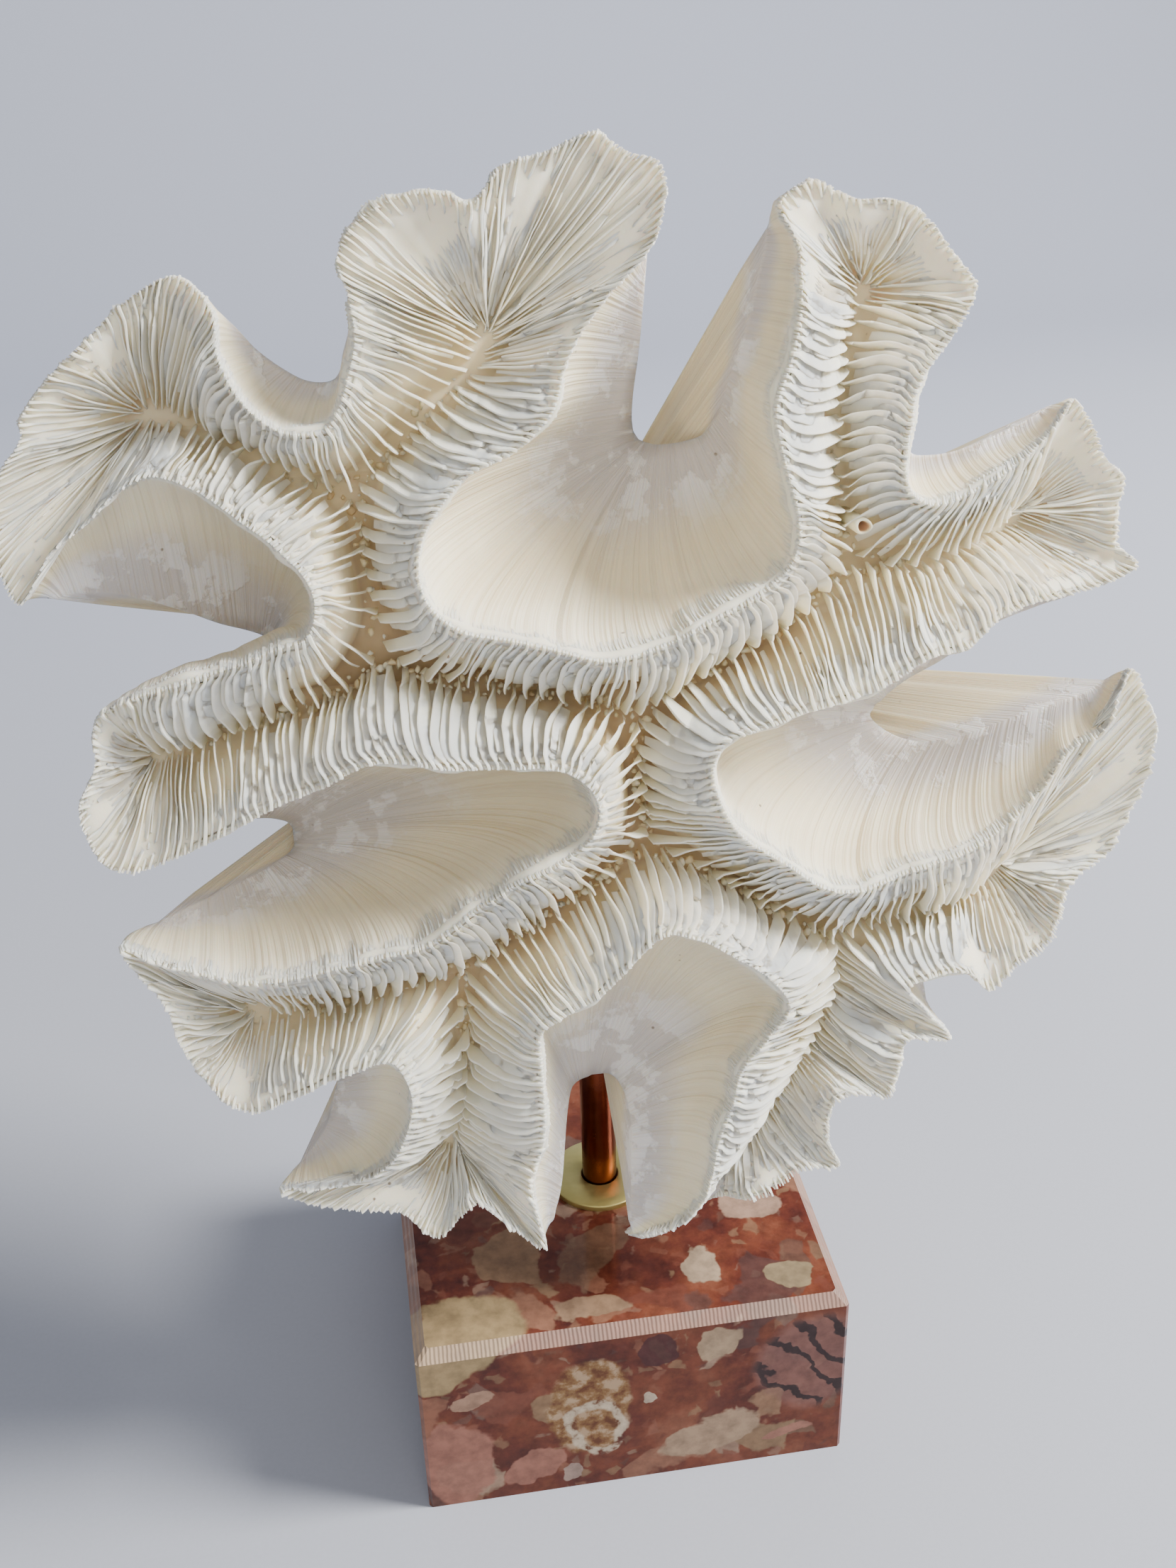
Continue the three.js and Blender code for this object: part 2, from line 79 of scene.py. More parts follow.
# Ribs across the wall, clockwise and lobe by lobe: crest (u, v), middle of the valley inside it,
# foot of the outer wall, and how far the crest hangs below the dome, where it does.
RIBS = {
    "top_right": (
        (5, 24, 4, 13, 21, 57.5), (14.7, 25.3, 14, 14, 22.5, 57), (24, 29, 24, 18, 25, 57),
        (34, 33, 36, 22, 28, 57.5), (41, 38, 47, 29, 31, 58.5), (43, 45.5, 53, 40, 33, 60.5),
        (40.5, 57, 53.5, 53, 34.5, 64), (39.4, 67, 53.5, 65, 35.5, 70), (43, 75.6, 55, 74, 37.5, 77),
        (45.5, 86, 58, 81, 39.5, 87), (45.4, 95, 60, 85, 41.5, 95.5), (42.6, 102.3, 61, 86, 42.5, 99),
        (49.5, 106, 61, 87, 49, 102), (57, 102.5, 61.5, 87, 56.5, 99), (64.6, 102, 62, 87, 63.5, 98.5),
        (70.8, 98.8, 62.5, 86.5, 69, 95.5), (76.5, 91.6, 63, 86, 74, 89.5), (81, 85, 63, 85, 78, 84),
        (76.2, 77.5, 62, 83, 75.5, 79), (68.8, 69.7, 57, 72, 71.5, 71), (66.3, 62, 54.5, 62, 70, 64),
        (65, 53, 54, 52, 69.5, 57),
    ),
    "right_upper": (
        (67, 48, 56, 43, 70.5, 54.5), (71.8, 46.2, 64, 36, 72.5, 53.5), (79.8, 48.3, 76, 35, 79, 54),
        (88.6, 52.7, 85, 38.5, 88, 57), (96, 57.5, 91, 41, 95.5, 60), (101.5, 62.5, 93, 42, 99.5, 61.5),
        (106, 57, 94, 42, 102.5, 56), (108.4, 51, 94.5, 41.5, 104.5, 50.5),
        (112.8, 46.5, 95, 41, 108.5, 46), (111.5, 40, 95, 40.5, 107.5, 40),
        (112, 33.5, 95, 39.5, 108, 33.5), (116, 29, 94, 38.5, 111, 29.5), (107, 26, 92, 37, 105, 23.5),
        (99.6, 25.2, 89, 36, 98, 21.5), (91, 24.5, 84, 34.5, 90, 18.5), (84, 22.5, 79, 33, 85, 15),
        (77, 17.8, 73, 31.5, 79.5, 10), (69, 17, 67, 30.5, 73.5, 5.5), (62, 13.3, 60, 30, 70, 2),
        (53, 10.8, 50, 27.5, 68.5, 0), (44, 9.8, 41, 22.5, 67.5, -1), (35, 7.8, 30, 17.5, 67, -2),
    ),
    "right": (
        (27.6, 6, 19, 11, 66.5, -3), (24.5, 1, 13.5, 2, 66.5, -3.8), (25.7, -6.5, 13, -6, 67, -4.6),
        (30.3, -14.7, 15, -16, 67.5, -5.2), (38.9, -21.5, 28, -29, 68.5, -6),
        (46.9, -28, 40, -36, 70, -7), (54, -30, 51, -40.5, 72.5, -8), (62, -28.9, 62, -42, 76, -8.5),
        (70, -27, 72, -41.5, 80.5, -7.5), (79.3, -25, 80, -40.5, 86, -5.5),
        (88, -20.8, 87, -38, 92, -3), (96, -14.4, 90, -36.5, 98, -1),
        (101.2, -8.2, 91.5, -35.5, 103, 0.5), (110, -3.5, 92, -35, 108.5, 2),
        (116.2, 7.2, 92.5, -34.5, 113, 4), (121, -1, 93, -34.5, 116.5, -1.5),
        (123.4, -8, 93, -34.5, 118.5, -8.5), (120, -21.5, 93, -35, 115.5, -21),
        (114.2, -32.5, 93, -35.5, 110.5, -32), (106.8, -37, 93, -36, 104, -36.5),
        (103, -41, 92.5, -37, 99.5, -41.5), (102.5, -47.6, 92, -38, 99, -47),
        (100.5, -53, 91, -39, 97, -51.5), (93, -56.5, 89, -40, 91.5, -54.5),
        (86.8, -61.2, 85, -41, 85.5, -58), (80.5, -54.8, 80, -41.5, 81, -56),
        (73, -53.8, 72, -42.5, 76, -57),
    ),
    "lower_right": (
        (66.5, -55.7, 60, -44, 73, -58.5), (71, -62, 56, -50, 74.5, -62),
        (78, -72, 54, -57, 74.5, -69.5), (68, -69, 53, -60, 69, -69.5), (65.8, -76, 51, -65, 65.5, -75),
        (64.5, -84.5, 49, -69, 62.5, -81.5), (58, -81, 47, -72.5, 58, -82),
        (51, -82.5, 45, -76, 53, -85), (50.5, -93, 42, -81, 49.5, -92),
        (53.5, -101.5, 40, -84.5, 50.5, -98.5), (46, -100, 38, -88, 45.5, -98.5),
        (40, -103.2, 36, -91, 39.5, -101), (33, -106, 34, -93, 33, -103),
        (28, -108, 31, -97, 28, -105.5, 5), (21, -113, 26, -103, 21, -110, 9),
        (13, -117, 19, -109, 13.5, -114, 11), (7.5, -116, 13, -113.5, 9, -113.5, 6),
        (9, -114.5, 14, -113, 6.5, -112, 2), (17, -111.5, 20, -108.5, 7, -108),
        (22, -105.5, 26, -102.5, 7.5, -102), (23.8, -97, 31, -95.5, 8, -96),
        (25, -88.5, 35, -89, 8.5, -91), (28, -78.5, 42, -79, 8.5, -86.5), (30, -69.5, 46, -71, 8, -83),
        (35.7, -61.7, 49, -63, 7, -80.5), (40, -55, 50, -54, 6, -79), (36, -47.5, 46, -45, 5, -78.3),
        (29, -41.3, 37, -36, 4, -78), (20.4, -35.3, 24, -26, 3, -78), (13.6, -34, 13, -21.5, 2, -78),
    ),
    "bottom_left": (
        (7, -39.5, 4, -25, 1, -78), (0.8, -45.5, -5, -30, 0, -78.3),
        (-5.7, -48.8, -15, -36, -1.5, -78.6), (-11.5, -52, -23, -42, -3, -79.3),
        (-12.3, -58, -25.5, -51, -4, -80.5), (-12, -66, -26, -61, -5, -83.5),
        (-12, -75, -26.5, -71, -6, -88), (-13, -84, -27.5, -79, -7, -94),
        (-15.5, -92, -28, -84, -8, -100), (-14.5, -101, -28.5, -87, -9.5, -105.5),
        (-13, -112.5, -29, -88, -11.5, -109.5), (-19, -106, -29, -88.5, -18.5, -103.5),
        (-26.5, -97, -30, -88.5, -26.5, -99.5), (-31, -100, -30.5, -88.5, -31, -99.5),
        (-36.5, -105, -31, -88.5, -36, -102), (-43, -98, -32, -88, -42.5, -97),
        (-52, -95.5, -33, -87.5, -51, -94), (-60, -93.5, -34, -87, -58.5, -91.5),
        (-68, -89.3, -35, -86, -64, -87.5), (-60, -88.3, -35.5, -85, -61, -83.5),
        (-52, -87.5, -36, -84, -58.5, -80.5), (-45.3, -83.3, -35, -82, -57, -78),
        (-41.5, -77.5, -31, -77.5, -56, -75.5), (-39, -69, -28, -68.5, -55, -72),
        (-39.5, -62, -26.5, -58, -54, -69.5),
    ),
    "left_lower": (
        (-42.3, -56.8, -28, -44.5, -54, -67.5), (-48, -58.3, -40, -44.5, -56, -66),
        (-55.4, -61, -52, -48, -60, -65.5), (-63, -64.5, -61, -50, -64.5, -64.5),
        (-72.6, -67.4, -68, -50.5, -71, -64), (-79, -60.5, -70, -50.5, -75.5, -58.5),
        (-83.5, -50, -71, -50, -79.5, -49.5), (-85.6, -40.5, -71, -49, -81.5, -41),
        (-92, -28.5, -70.5, -48, -87, -30), (-84, -31.5, -69, -47.5, -82, -27.5),
        (-76, -34.5, -67, -47.5, -76, -26), (-68, -36.8, -64, -48, -70.5, -25),
        (-59, -36, -57.5, -48, -65, -24), (-50, -34, -49, -47, -61.5, -23.2),
        (-41, -32.3, -40.5, -45, -59.5, -22.3), (-32, -30, -30, -41.5, -58.5, -21.5),
        (-24, -24.5, -19, -37, -58, -20.8), (-14.5, -18.5, -9, -32, -58, -20.2),
        (-6, -15.3, 2, -25, -58, -19.7),
    ),
    "left": (
        (0, -10.8, 11, -15, -58, -19.2), (1.9, -5, 12, -5, -58, -18.7), (-1, 1, 9, 7, -58, -18.2),
        (-7.3, 4.4, -1, 14, -58, -17.6), (-16, 4.8, -14, 17, -58.3, -16.8),
        (-25, 5.5, -24.5, 18.5, -59, -15.8), (-33, 7.3, -33, 21, -60.5, -14.8),
        (-41, 7.6, -41, 19.5, -62.5, -13.8), (-50, 3.5, -49, 17, -65.5, -12.8),
        (-59, 0.2, -58, 14, -69.5, -11.5), (-68, -4.2, -67, 11.5, -74, -10.5),
        (-78, -8.8, -75.5, 9, -80, -9.5), (-86, -11.3, -79.5, 8, -85, -9),
        (-92.5, -9.5, -81, 7.5, -89.5, -7), (-95.8, 0.5, -82, 7, -92, 1),
        (-91.5, 9.5, -82, 7.5, -88, 8.5), (-90, 18.4, -81.5, 8, -86.5, 15.5),
        (-84, 22.5, -80, 9, -82.5, 18.5), (-74, 25, -73, 11, -76, 19.5),
        (-64, 27.7, -63.5, 13.5, -69.5, 20.5), (-55, 30.8, -54.5, 16, -64, 21.5),
        (-50, 32.3, -46, 18.5, -61, 22.2),
    ),
    "upper_left": (
        (-47.7, 37, -37.5, 30, -59, 23.2), (-48.4, 42.4, -37.5, 43, -58.5, 24.2),
        (-53, 48.3, -40, 53, -59.5, 25.5), (-60, 54.5, -51, 60.5, -62.5, 27.5),
        (-67, 60, -61, 66.5, -67, 30), (-74, 62.5, -68.5, 69.5, -73, 34),
        (-80, 60.2, -72.5, 70.5, -79.5, 37.5), (-87, 54.5, -74, 71, -86, 40),
        (-94, 49.5, -75, 71, -92, 40.5), (-101, 40.5, -75.5, 70.5, -97, 40.5),
        (-104, 50, -76, 70.5, -99, 50), (-102.5, 62, -76, 71, -98, 61), (-97, 69, -76, 71.5, -93, 67.5),
        (-95.5, 74, -76, 72, -91.5, 72), (-90, 80.3, -75.5, 72.5, -86.5, 78),
        (-82, 87, -75, 72.5, -79.5, 84), (-74.8, 92.6, -74, 72.5, -73, 89),
        (-66, 96.2, -72.5, 72.5, -65, 92.5), (-60.2, 90.5, -69, 71.5, -58, 88),
        (-59.8, 81.5, -64, 70, -53.5, 82.5), (-56, 73.5, -56.5, 65.5, -49, 78.5),
        (-50, 69, -48.5, 61, -45, 76),
    ),
    "top_left": (
        (-43, 68.8, -40, 57.5, -41, 75.5), (-39.8, 72.5, -33, 61.5, -39, 77),
        (-37.5, 78, -25, 69, -38, 80.5), (-35.8, 84, -19, 76, -36.5, 85),
        (-36.2, 91, -16, 80, -36, 90.5), (-37.5, 98, -14.5, 83, -34.5, 95.5),
        (-33, 104, -13.5, 84.5, -31, 100.5), (-25, 107.5, -12.5, 85, -24, 103.5),
        (-18, 107.3, -12, 85.5, -17.5, 103.5), (-13, 105.5, -11.5, 85.5, -12.5, 102),
        (-7.5, 111, -11, 85.5, -7, 107), (0.5, 113, -10.5, 85.5, 0.5, 109),
        (9, 116, -10, 85, 8.5, 111.5), (15.5, 112.5, -9.5, 85, 14.5, 109),
        (21.4, 110, -9, 84.5, 18.5, 106.5), (20.8, 101.5, -8.5, 83.5, 19.5, 99.5),
        (17, 95, -8.5, 82.5, 19, 92), (10, 89, -9, 81, 18.5, 84.5), (2, 79.5, -11, 77.5, 18, 76),
        (-2, 70, -15, 73.5, 17.5, 69), (-9, 63, -22, 69, 17.5, 64), (-17.3, 60, -29, 64, 17.8, 61.5),
        (-24, 54, -36.5, 57, 18.2, 60), (-28, 46, -37.5, 45.5, 18.8, 59),
        (-27.5, 37.5, -36, 33, 19.3, 58.3), (-21.5, 31.8, -29, 22.5, 19.8, 58),
        (-12, 29.3, -16, 17.5, 20.2, 57.8), (-4, 26.8, -5.5, 15, 20.6, 57.6),
    ),
}


# Curves along the coral's crest

def dome(p):
    return DOME_HEIGHT - DOME_FALL * (p[..., 0] ** 2 + p[..., 1] ** 2) / DOME_RADIUS ** 2


def smooth(x):
    x = np.clip(x, 0.0, 1.0)
    return x * x * (3.0 - 2.0 * x)


def closed_curve(points, t):
    """Smooth closed curve through points, at t in ribs."""
    count = len(points)
    i = np.floor(t).astype(int)
    f = (t - i)[:, None]
    p0, p1, p2, p3 = (points[(i + k) % count] for k in (-1, 0, 1, 2))
    return p1 + 0.5 * f * (p2 - p0 + f * (2 * p0 - 5 * p1 + 4 * p2 - p3 + f * (3 * (p1 - p2) + p3 - p0)))


def wander(x, length, step, seed):
    """Smooth random line in -1..1 along x that closes on itself after length."""
    count = max(4, round(length / step))
    values = np.random.default_rng(seed).uniform(-1.0, 1.0, count)
    q = x / length * count
    i = np.floor(q).astype(int)
    f = q - i
    f = f * f * (3 - 2 * f)
    return values[i % count] * (1 - f) + values[(i + 1) % count] * f


LOBE_NAMES = list(RIBS)[::-1]
rows = []
rib_lobe = []
for lobe_index, lobe in enumerate(LOBE_NAMES):
    for rib in RIBS[lobe][::-1]:
        rows.append(rib + (0.0,) * (RIB_COLUMNS - len(rib)))
        rib_lobe.append(lobe_index)
ribs = np.array(rows)
rib_lobe = np.array(rib_lobe)

fine_t = np.arange(0, len(ribs), FINE_STEP)
fine = closed_curve(ribs, fine_t)
fine_step = np.linalg.norm(np.roll(fine[:, :2], -1, 0) - fine[:, :2], axis=1)
fine_arc = np.concatenate(([0.0], np.cumsum(fine_step)))
CREST_LENGTH = fine_arc[-1]


def smoothed(values, arc, window):
    """Values on the fine curve, averaged over a window of its length (mm)."""
    even = np.arange(0, CREST_LENGTH, EVEN_STEP)
    line = np.interp(even, arc, values)
    reach = round(window / EVEN_STEP)
    kernel = np.hanning(2 * reach + 1)
    return even, np.convolve(np.pad(line, reach, mode="wrap"), kernel / kernel.sum(), "valid")


fine_valley_step = np.linalg.norm(np.roll(fine[:, 2:4], -1, 0) - fine[:, 2:4], axis=1)
even_arc, even_valley = smoothed(fine_valley_step / FINE_STEP, fine_arc[:-1], AVERAGE_CREST)
even_crest = smoothed(fine_step / FINE_STEP, fine_arc[:-1], AVERAGE_CREST)[1]
even_crowding = even_valley / np.maximum(1e-6, even_crest)
even_rows = closed_curve(ribs, np.interp(even_arc, fine_arc[:-1], fine_t))
valley_line = even_rows[:, 2:4]
even_side = even_rows[:, :2] - valley_line
even_side /= np.linalg.norm(even_side, axis=1, keepdims=True)
even_past = np.zeros(len(even_arc))
for place, spot in enumerate(valley_line):
    away = valley_line - spot
    ahead = -away @ even_side[place]
    beside = np.abs(away @ np.array((-even_side[place, 1], even_side[place, 0])))
    facing = even_side @ even_side[place] < FACING_LIMIT
    facing &= (beside < FACING_WIDTH) & (ahead > FACING_BEHIND)
    even_past[place] = 0.5 * np.min(ahead[facing]) if facing.any() else 0.0
even_past = smoothed(np.clip(even_past, *PAST_RANGE), even_arc, AVERAGE_PAST)[1]


class Section:
    """Sections across the wall at places along the crest (arc in mm)."""

    def __init__(self, arc):
        self.arc = arc
        t = np.interp(arc, fine_arc, np.append(fine_t, float(len(ribs))))
        row = closed_curve(ribs, t)
        self.lobe = rib_lobe[np.round(t).astype(int) % len(ribs)]
        self.crest = np.column_stack((row[:, :2], dome(row[:, :2]) - row[:, 6]))
        self.valley = np.column_stack((row[:, 2:4], dome(row[:, 2:4]) - VALLEY_DEPTH))
        self.far = np.hypot(self.valley[:, 0], self.valley[:, 1])
        back = row[:, 4:6]
        spread_out = np.hypot(back[:, 0], back[:, 1]) / WALL_SPREAD
        depth = WALL_MIN + WALL_RANGE * np.exp(-spread_out ** WALL_POWER)
        self.back = np.column_stack((back, dome(back) - depth))
        side = self.crest[:, :2] - self.valley[:, :2]
        self.width = np.linalg.norm(side, axis=1)
        self.side = np.column_stack((side / self.width[:, None], np.zeros(len(arc))))
        self.along = np.column_stack((-self.side[:, 1], self.side[:, 0], np.zeros(len(arc))))
        self.crowding = np.interp(arc, even_arc, even_crowding, period=CREST_LENGTH)
        self.open = smooth((self.crowding - 0.35) / 0.6)
        self.past = np.interp(arc, even_arc, even_past, period=CREST_LENGTH)
        ruffle = 0.55 * wander(arc, CREST_LENGTH, 9, 11) + 0.4 * wander(arc, CREST_LENGTH, 3.3, 12)
        ruffle += 0.55 * wander(arc, CREST_LENGTH, 1.9, 15) * (1.0 - self.open)
        self.crest += self.side * (ruffle - 0.3)[:, None]
        self.crest[:, 2] += 0.8 * wander(arc, CREST_LENGTH, 9, 13) + 0.3 * wander(arc, CREST_LENGTH, 2.7, 14)

    def inner(self, s):
        """Septal edge at s, from the valley's middle (0) to the crest (1)."""
        reach = VALLEY_HALF_WIDTH + (self.width - VALLEY_HALF_WIDTH) * s
        p = self.valley + self.side * reach[:, None]
        p[:, 2] = edge_height(self, s)
        return p

    def outer(self, t, start):
        """Outer wall at t, from under the crest (0) to its foot (1)."""
        p = start + (self.back - start) * (1.0 - np.cos(t * np.pi / 2))[:, None]
        p[:, 2] = start[:, 2] + (self.back[:, 2] - start[:, 2]) * np.sin(t * np.pi / 2)
        return p


def gap_depth(s, opened):
    """How far the floor between two septa lies below their edges; shallow where they fan out."""
    slope = (0.4 + 1.7 * opened) * smooth((1.0 - s) / 0.8)
    return 0.35 + slope + (0.6 + 1.6 * opened) * smooth((0.32 - s) / 0.32)


def edge_height(part, s):
    """Height of the septal edges at s; they stay high until close to the valley's middle."""
    out_there = smooth((part.far - 55) / 20)
    bottom = part.valley[:, 2] + VALLEY_FILL * part.open + LOBE_FILL * out_there
    return bottom + (part.crest[:, 2] - bottom) * (1.0 - (1.0 - s) ** EDGE_BULGE)


def paleness(part):
    """How much of the painted valley shade is left; less of it out on the lobes."""
    return 1.0 - 0.45 * smooth((part.far - 45) / 35)


def lip_of(part):
    """Where the outer wall starts, just past the crest; rounder around the inlets."""
    p = part.crest + part.side * (0.45 + 0.85 * part.open)[:, None]
    p[:, 2] -= 0.9 + 0.7 * part.open
    return p


def to_world(p):
    flat = p.reshape(-1, 3)
    world = CORAL_ORIGIN + flat[:, :1] * AXIS_U + flat[:, 1:2] * AXIS_V + flat[:, 2:] * AXIS_W
    return world * MM


def add_mesh(name, points, faces, material, attributes=None, crisp=None):
    mesh = bpy.data.meshes.new(name)
    if isinstance(faces, list):
        sizes = np.array([len(f) for f in faces])
        corners = np.concatenate([np.asarray(f) for f in faces])
    else:
        sizes = np.full(len(faces), faces.shape[1])
        corners = faces.ravel()
    starts = np.concatenate(([0], np.cumsum(sizes)[:-1]))
    mesh.vertices.add(len(points))
    mesh.vertices.foreach_set("co", np.asarray(points, np.float32).ravel())
    mesh.loops.add(len(corners))
    mesh.loops.foreach_set("vertex_index", corners.astype(np.int32))
    mesh.polygons.add(len(sizes))
    mesh.polygons.foreach_set("loop_start", starts.astype(np.int32))
    mesh.polygons.foreach_set("loop_total", sizes.astype(np.int32))
    mesh.polygons.foreach_set("use_smooth", np.ones(len(sizes), bool))
    for key, values in (attributes or {}).items():
        layer = mesh.attributes.new(key, "FLOAT", "POINT")
        layer.data.foreach_set("value", np.asarray(values, np.float32).ravel())
    mesh.update()
    mesh.validate()
    if crisp:
        mesh.set_sharp_from_angle(angle=math.radians(crisp))
    obj = bpy.data.objects.new(name, mesh)
    bpy.context.scene.collection.objects.link(obj)
    mesh.materials.append(material)
    return obj


# Materials

class Nodes:
    """Small helper that adds and links shader nodes."""

    def __init__(self, name):
        self.material = bpy.data.materials.new(name)
        self.material.use_nodes = True
        self.tree = self.material.node_tree
        self.shader = self.tree.nodes["Principled BSDF"]
        self.position = self.add("ShaderNodeTexCoord").outputs["Object"]

    def add(self, kind, inputs=None, **settings):
        node = self.tree.nodes.new(kind)
        for key, value in settings.items():
            setattr(node, key, value)
        for key, value in (inputs or {}).items():
            self.feed(node.inputs[key], value)
        return node

    def feed(self, socket, value):
        if isinstance(value, bpy.types.NodeSocket):
            self.tree.links.new(value, socket)
        else:
            socket.default_value = value

    def math(self, operation, a, b=0.0, c=0.0, clamp=False):
        inputs = {0: a, 1: b, 2: c}
        return self.add("ShaderNodeMath", inputs, operation=operation, use_clamp=clamp).outputs[0]

    def noise(self, scale, detail=3.0, roughness=0.5):
        return self.add("ShaderNodeTexNoise", {"Scale": scale, "Detail": detail, "Roughness": roughness,
                                               "Vector": self.position})

    def ramp(self, factor, stops):
        node = self.add("ShaderNodeValToRGB", {"Fac": factor})
        elements = node.color_ramp.elements
        while len(elements) < len(stops):
            elements.new(0.5)
        for element, (place, color) in zip(elements, stops):
            element.position = place
            element.color = (*color, 1.0)
        return node.outputs["Color"]

    def mix(self, factor, a, b, blend="MIX"):
        node = self.add("ShaderNodeMix", {"Factor": factor}, data_type="RGBA", blend_type=blend)
        for name, value in (("A", a), ("B", b)):
            socket = next(s for s in node.inputs if s.name == name and s.type == "RGBA")
            self.feed(socket, value if isinstance(value, bpy.types.NodeSocket) else (*value, 1.0))
        return next(s for s in node.outputs if s.type == "RGBA")

    def between(self, value, low, high):
        node = self.add("ShaderNodeMapRange", {"Value": value, "From Min": low, "From Max": high},
                        interpolation_type="SMOOTHSTEP")
        return node.outputs["Result"]

    def bump(self, height, distance, strength=1.0):
        node = self.add("ShaderNodeBump", {"Height": height, "Distance": distance, "Strength": strength})
        self.feed(self.shader.inputs["Normal"], node.outputs["Normal"])

    def attribute(self, name):
        return self.add("ShaderNodeAttribute", attribute_name=name).outputs["Fac"]


def coral_material():
    """White at the edges, cream on the walls, tan to brown deep between the septa: the tan is dirt in the
    valleys, the darkening with depth is painted shade; inlet floors get painted grey shade.
    """
    n = Nodes("coral")
    tone = n.attribute("tone")
    scoop = n.attribute("scoop")
    patches = n.noise(38.0, 3.0).outputs["Fac"]
    fine_noise = n.noise(420.0, 4.0, 0.6).outputs["Fac"]
    shift = n.math("MULTIPLY_ADD", patches, 0.5, -0.25)
    depth = n.math("ADD", tone, n.math("MULTIPLY", shift, n.between(tone, 0.1, 0.6)), clamp=True)
    # Painted shade: the tone attribute darkens the colour with depth, from white at the crests to brown deep
    # in the valleys and the tube.
    color = n.ramp(depth, ((0.0, (0.92, 0.865, 0.71)), (0.2, (0.89, 0.80, 0.58)), (0.45, (0.76, 0.62, 0.40)),
                           (0.72, (0.50, 0.34, 0.20)), (1.0, (0.26, 0.16, 0.10))))
    cream = n.math("MULTIPLY", n.between(scoop, 0.05, 0.3), n.between(patches, 0.25, 0.6))
    color = n.mix(n.math("MULTIPLY", cream, 0.8), color, (0.78, 0.69, 0.49))
    crust_noise = n.noise(95.0, 5.0, 0.62).outputs["Fac"]
    # Painted shade: the inlet floors are tinted lavender-grey where they lie in shade; the pale crust patches
    # on them are real.
    floor = n.between(scoop, 0.46, 0.84)
    color = n.mix(n.math("MULTIPLY", floor, 0.8), color, (0.55, 0.52, 0.54))
    crust = n.math("MULTIPLY", floor, n.between(crust_noise, 0.52, 0.57))
    color = n.mix(n.math("MULTIPLY", crust, 0.7), color, (0.84, 0.825, 0.82))
    dirt = n.add("ShaderNodeTexVoronoi", {"Scale": 210.0, "Vector": n.position}, feature="F1")
    dots = n.between(dirt.outputs["Distance"], 0.10, 0.05)
    rare = n.between(n.noise(60.0, 2.0).outputs["Fac"], 0.56, 0.64)
    color = n.mix(n.math("MULTIPLY", n.math("MULTIPLY", dots, rare), 0.8), color, (0.16, 0.10, 0.06))
    lines = n.add("ShaderNodeTexNoise", {"W": n.attribute("rib_place"), "Scale": 0.85, "Detail": 2.0},
                  noise_dimensions="1D").outputs["Fac"]
    lines = n.math("MULTIPLY", n.math("SUBTRACT", lines, 0.5), n.between(scoop, 0.03, 0.12))
    shade = n.math("MULTIPLY", n.between(lines, 0.02, -0.14), 0.16)
    color = n.mix(shade, color, (0.58, 0.48, 0.32))
    n.feed(n.shader.inputs["Base Color"], color)
    n.feed(n.shader.inputs["Roughness"], n.math("SUBTRACT", 0.72, n.math("MULTIPLY", crust, 0.3)))
    n.shader.inputs["Subsurface Weight"].default_value = 0.65
    n.shader.inputs["Subsurface Radius"].default_value = (1.0, 0.72, 0.45)
    n.shader.inputs["Subsurface Scale"].default_value = 0.0026
    n.shader.inputs["Specular IOR Level"].default_value = 0.35
    height = n.math("ADD", n.math("MULTIPLY", fine_noise, 0.35), n.math("MULTIPLY", crust, 0.8))
    n.bump(n.math("ADD", height, n.math("MULTIPLY", lines, 2.2)), 0.0005, 0.6)
    return n.material


def placed(n, center, radius, turn, warp):
    """Distance from an ellipsoid's middle in radii, turned about Y, on warped coordinates (mm in)."""
    node = n.add("ShaderNodeMapping", {"Vector": warp}, vector_type="TEXTURE")
    node.inputs["Location"].default_value = tuple(c * MM for c in center)
    node.inputs["Rotation"].default_value = (0.0, math.radians(turn), 0.0)
    node.inputs["Scale"].default_value = tuple(r * MM for r in radius)
    return n.add("ShaderNodeVectorMath", {0: node.outputs[0]}, operation="LENGTH").outputs["Value"]


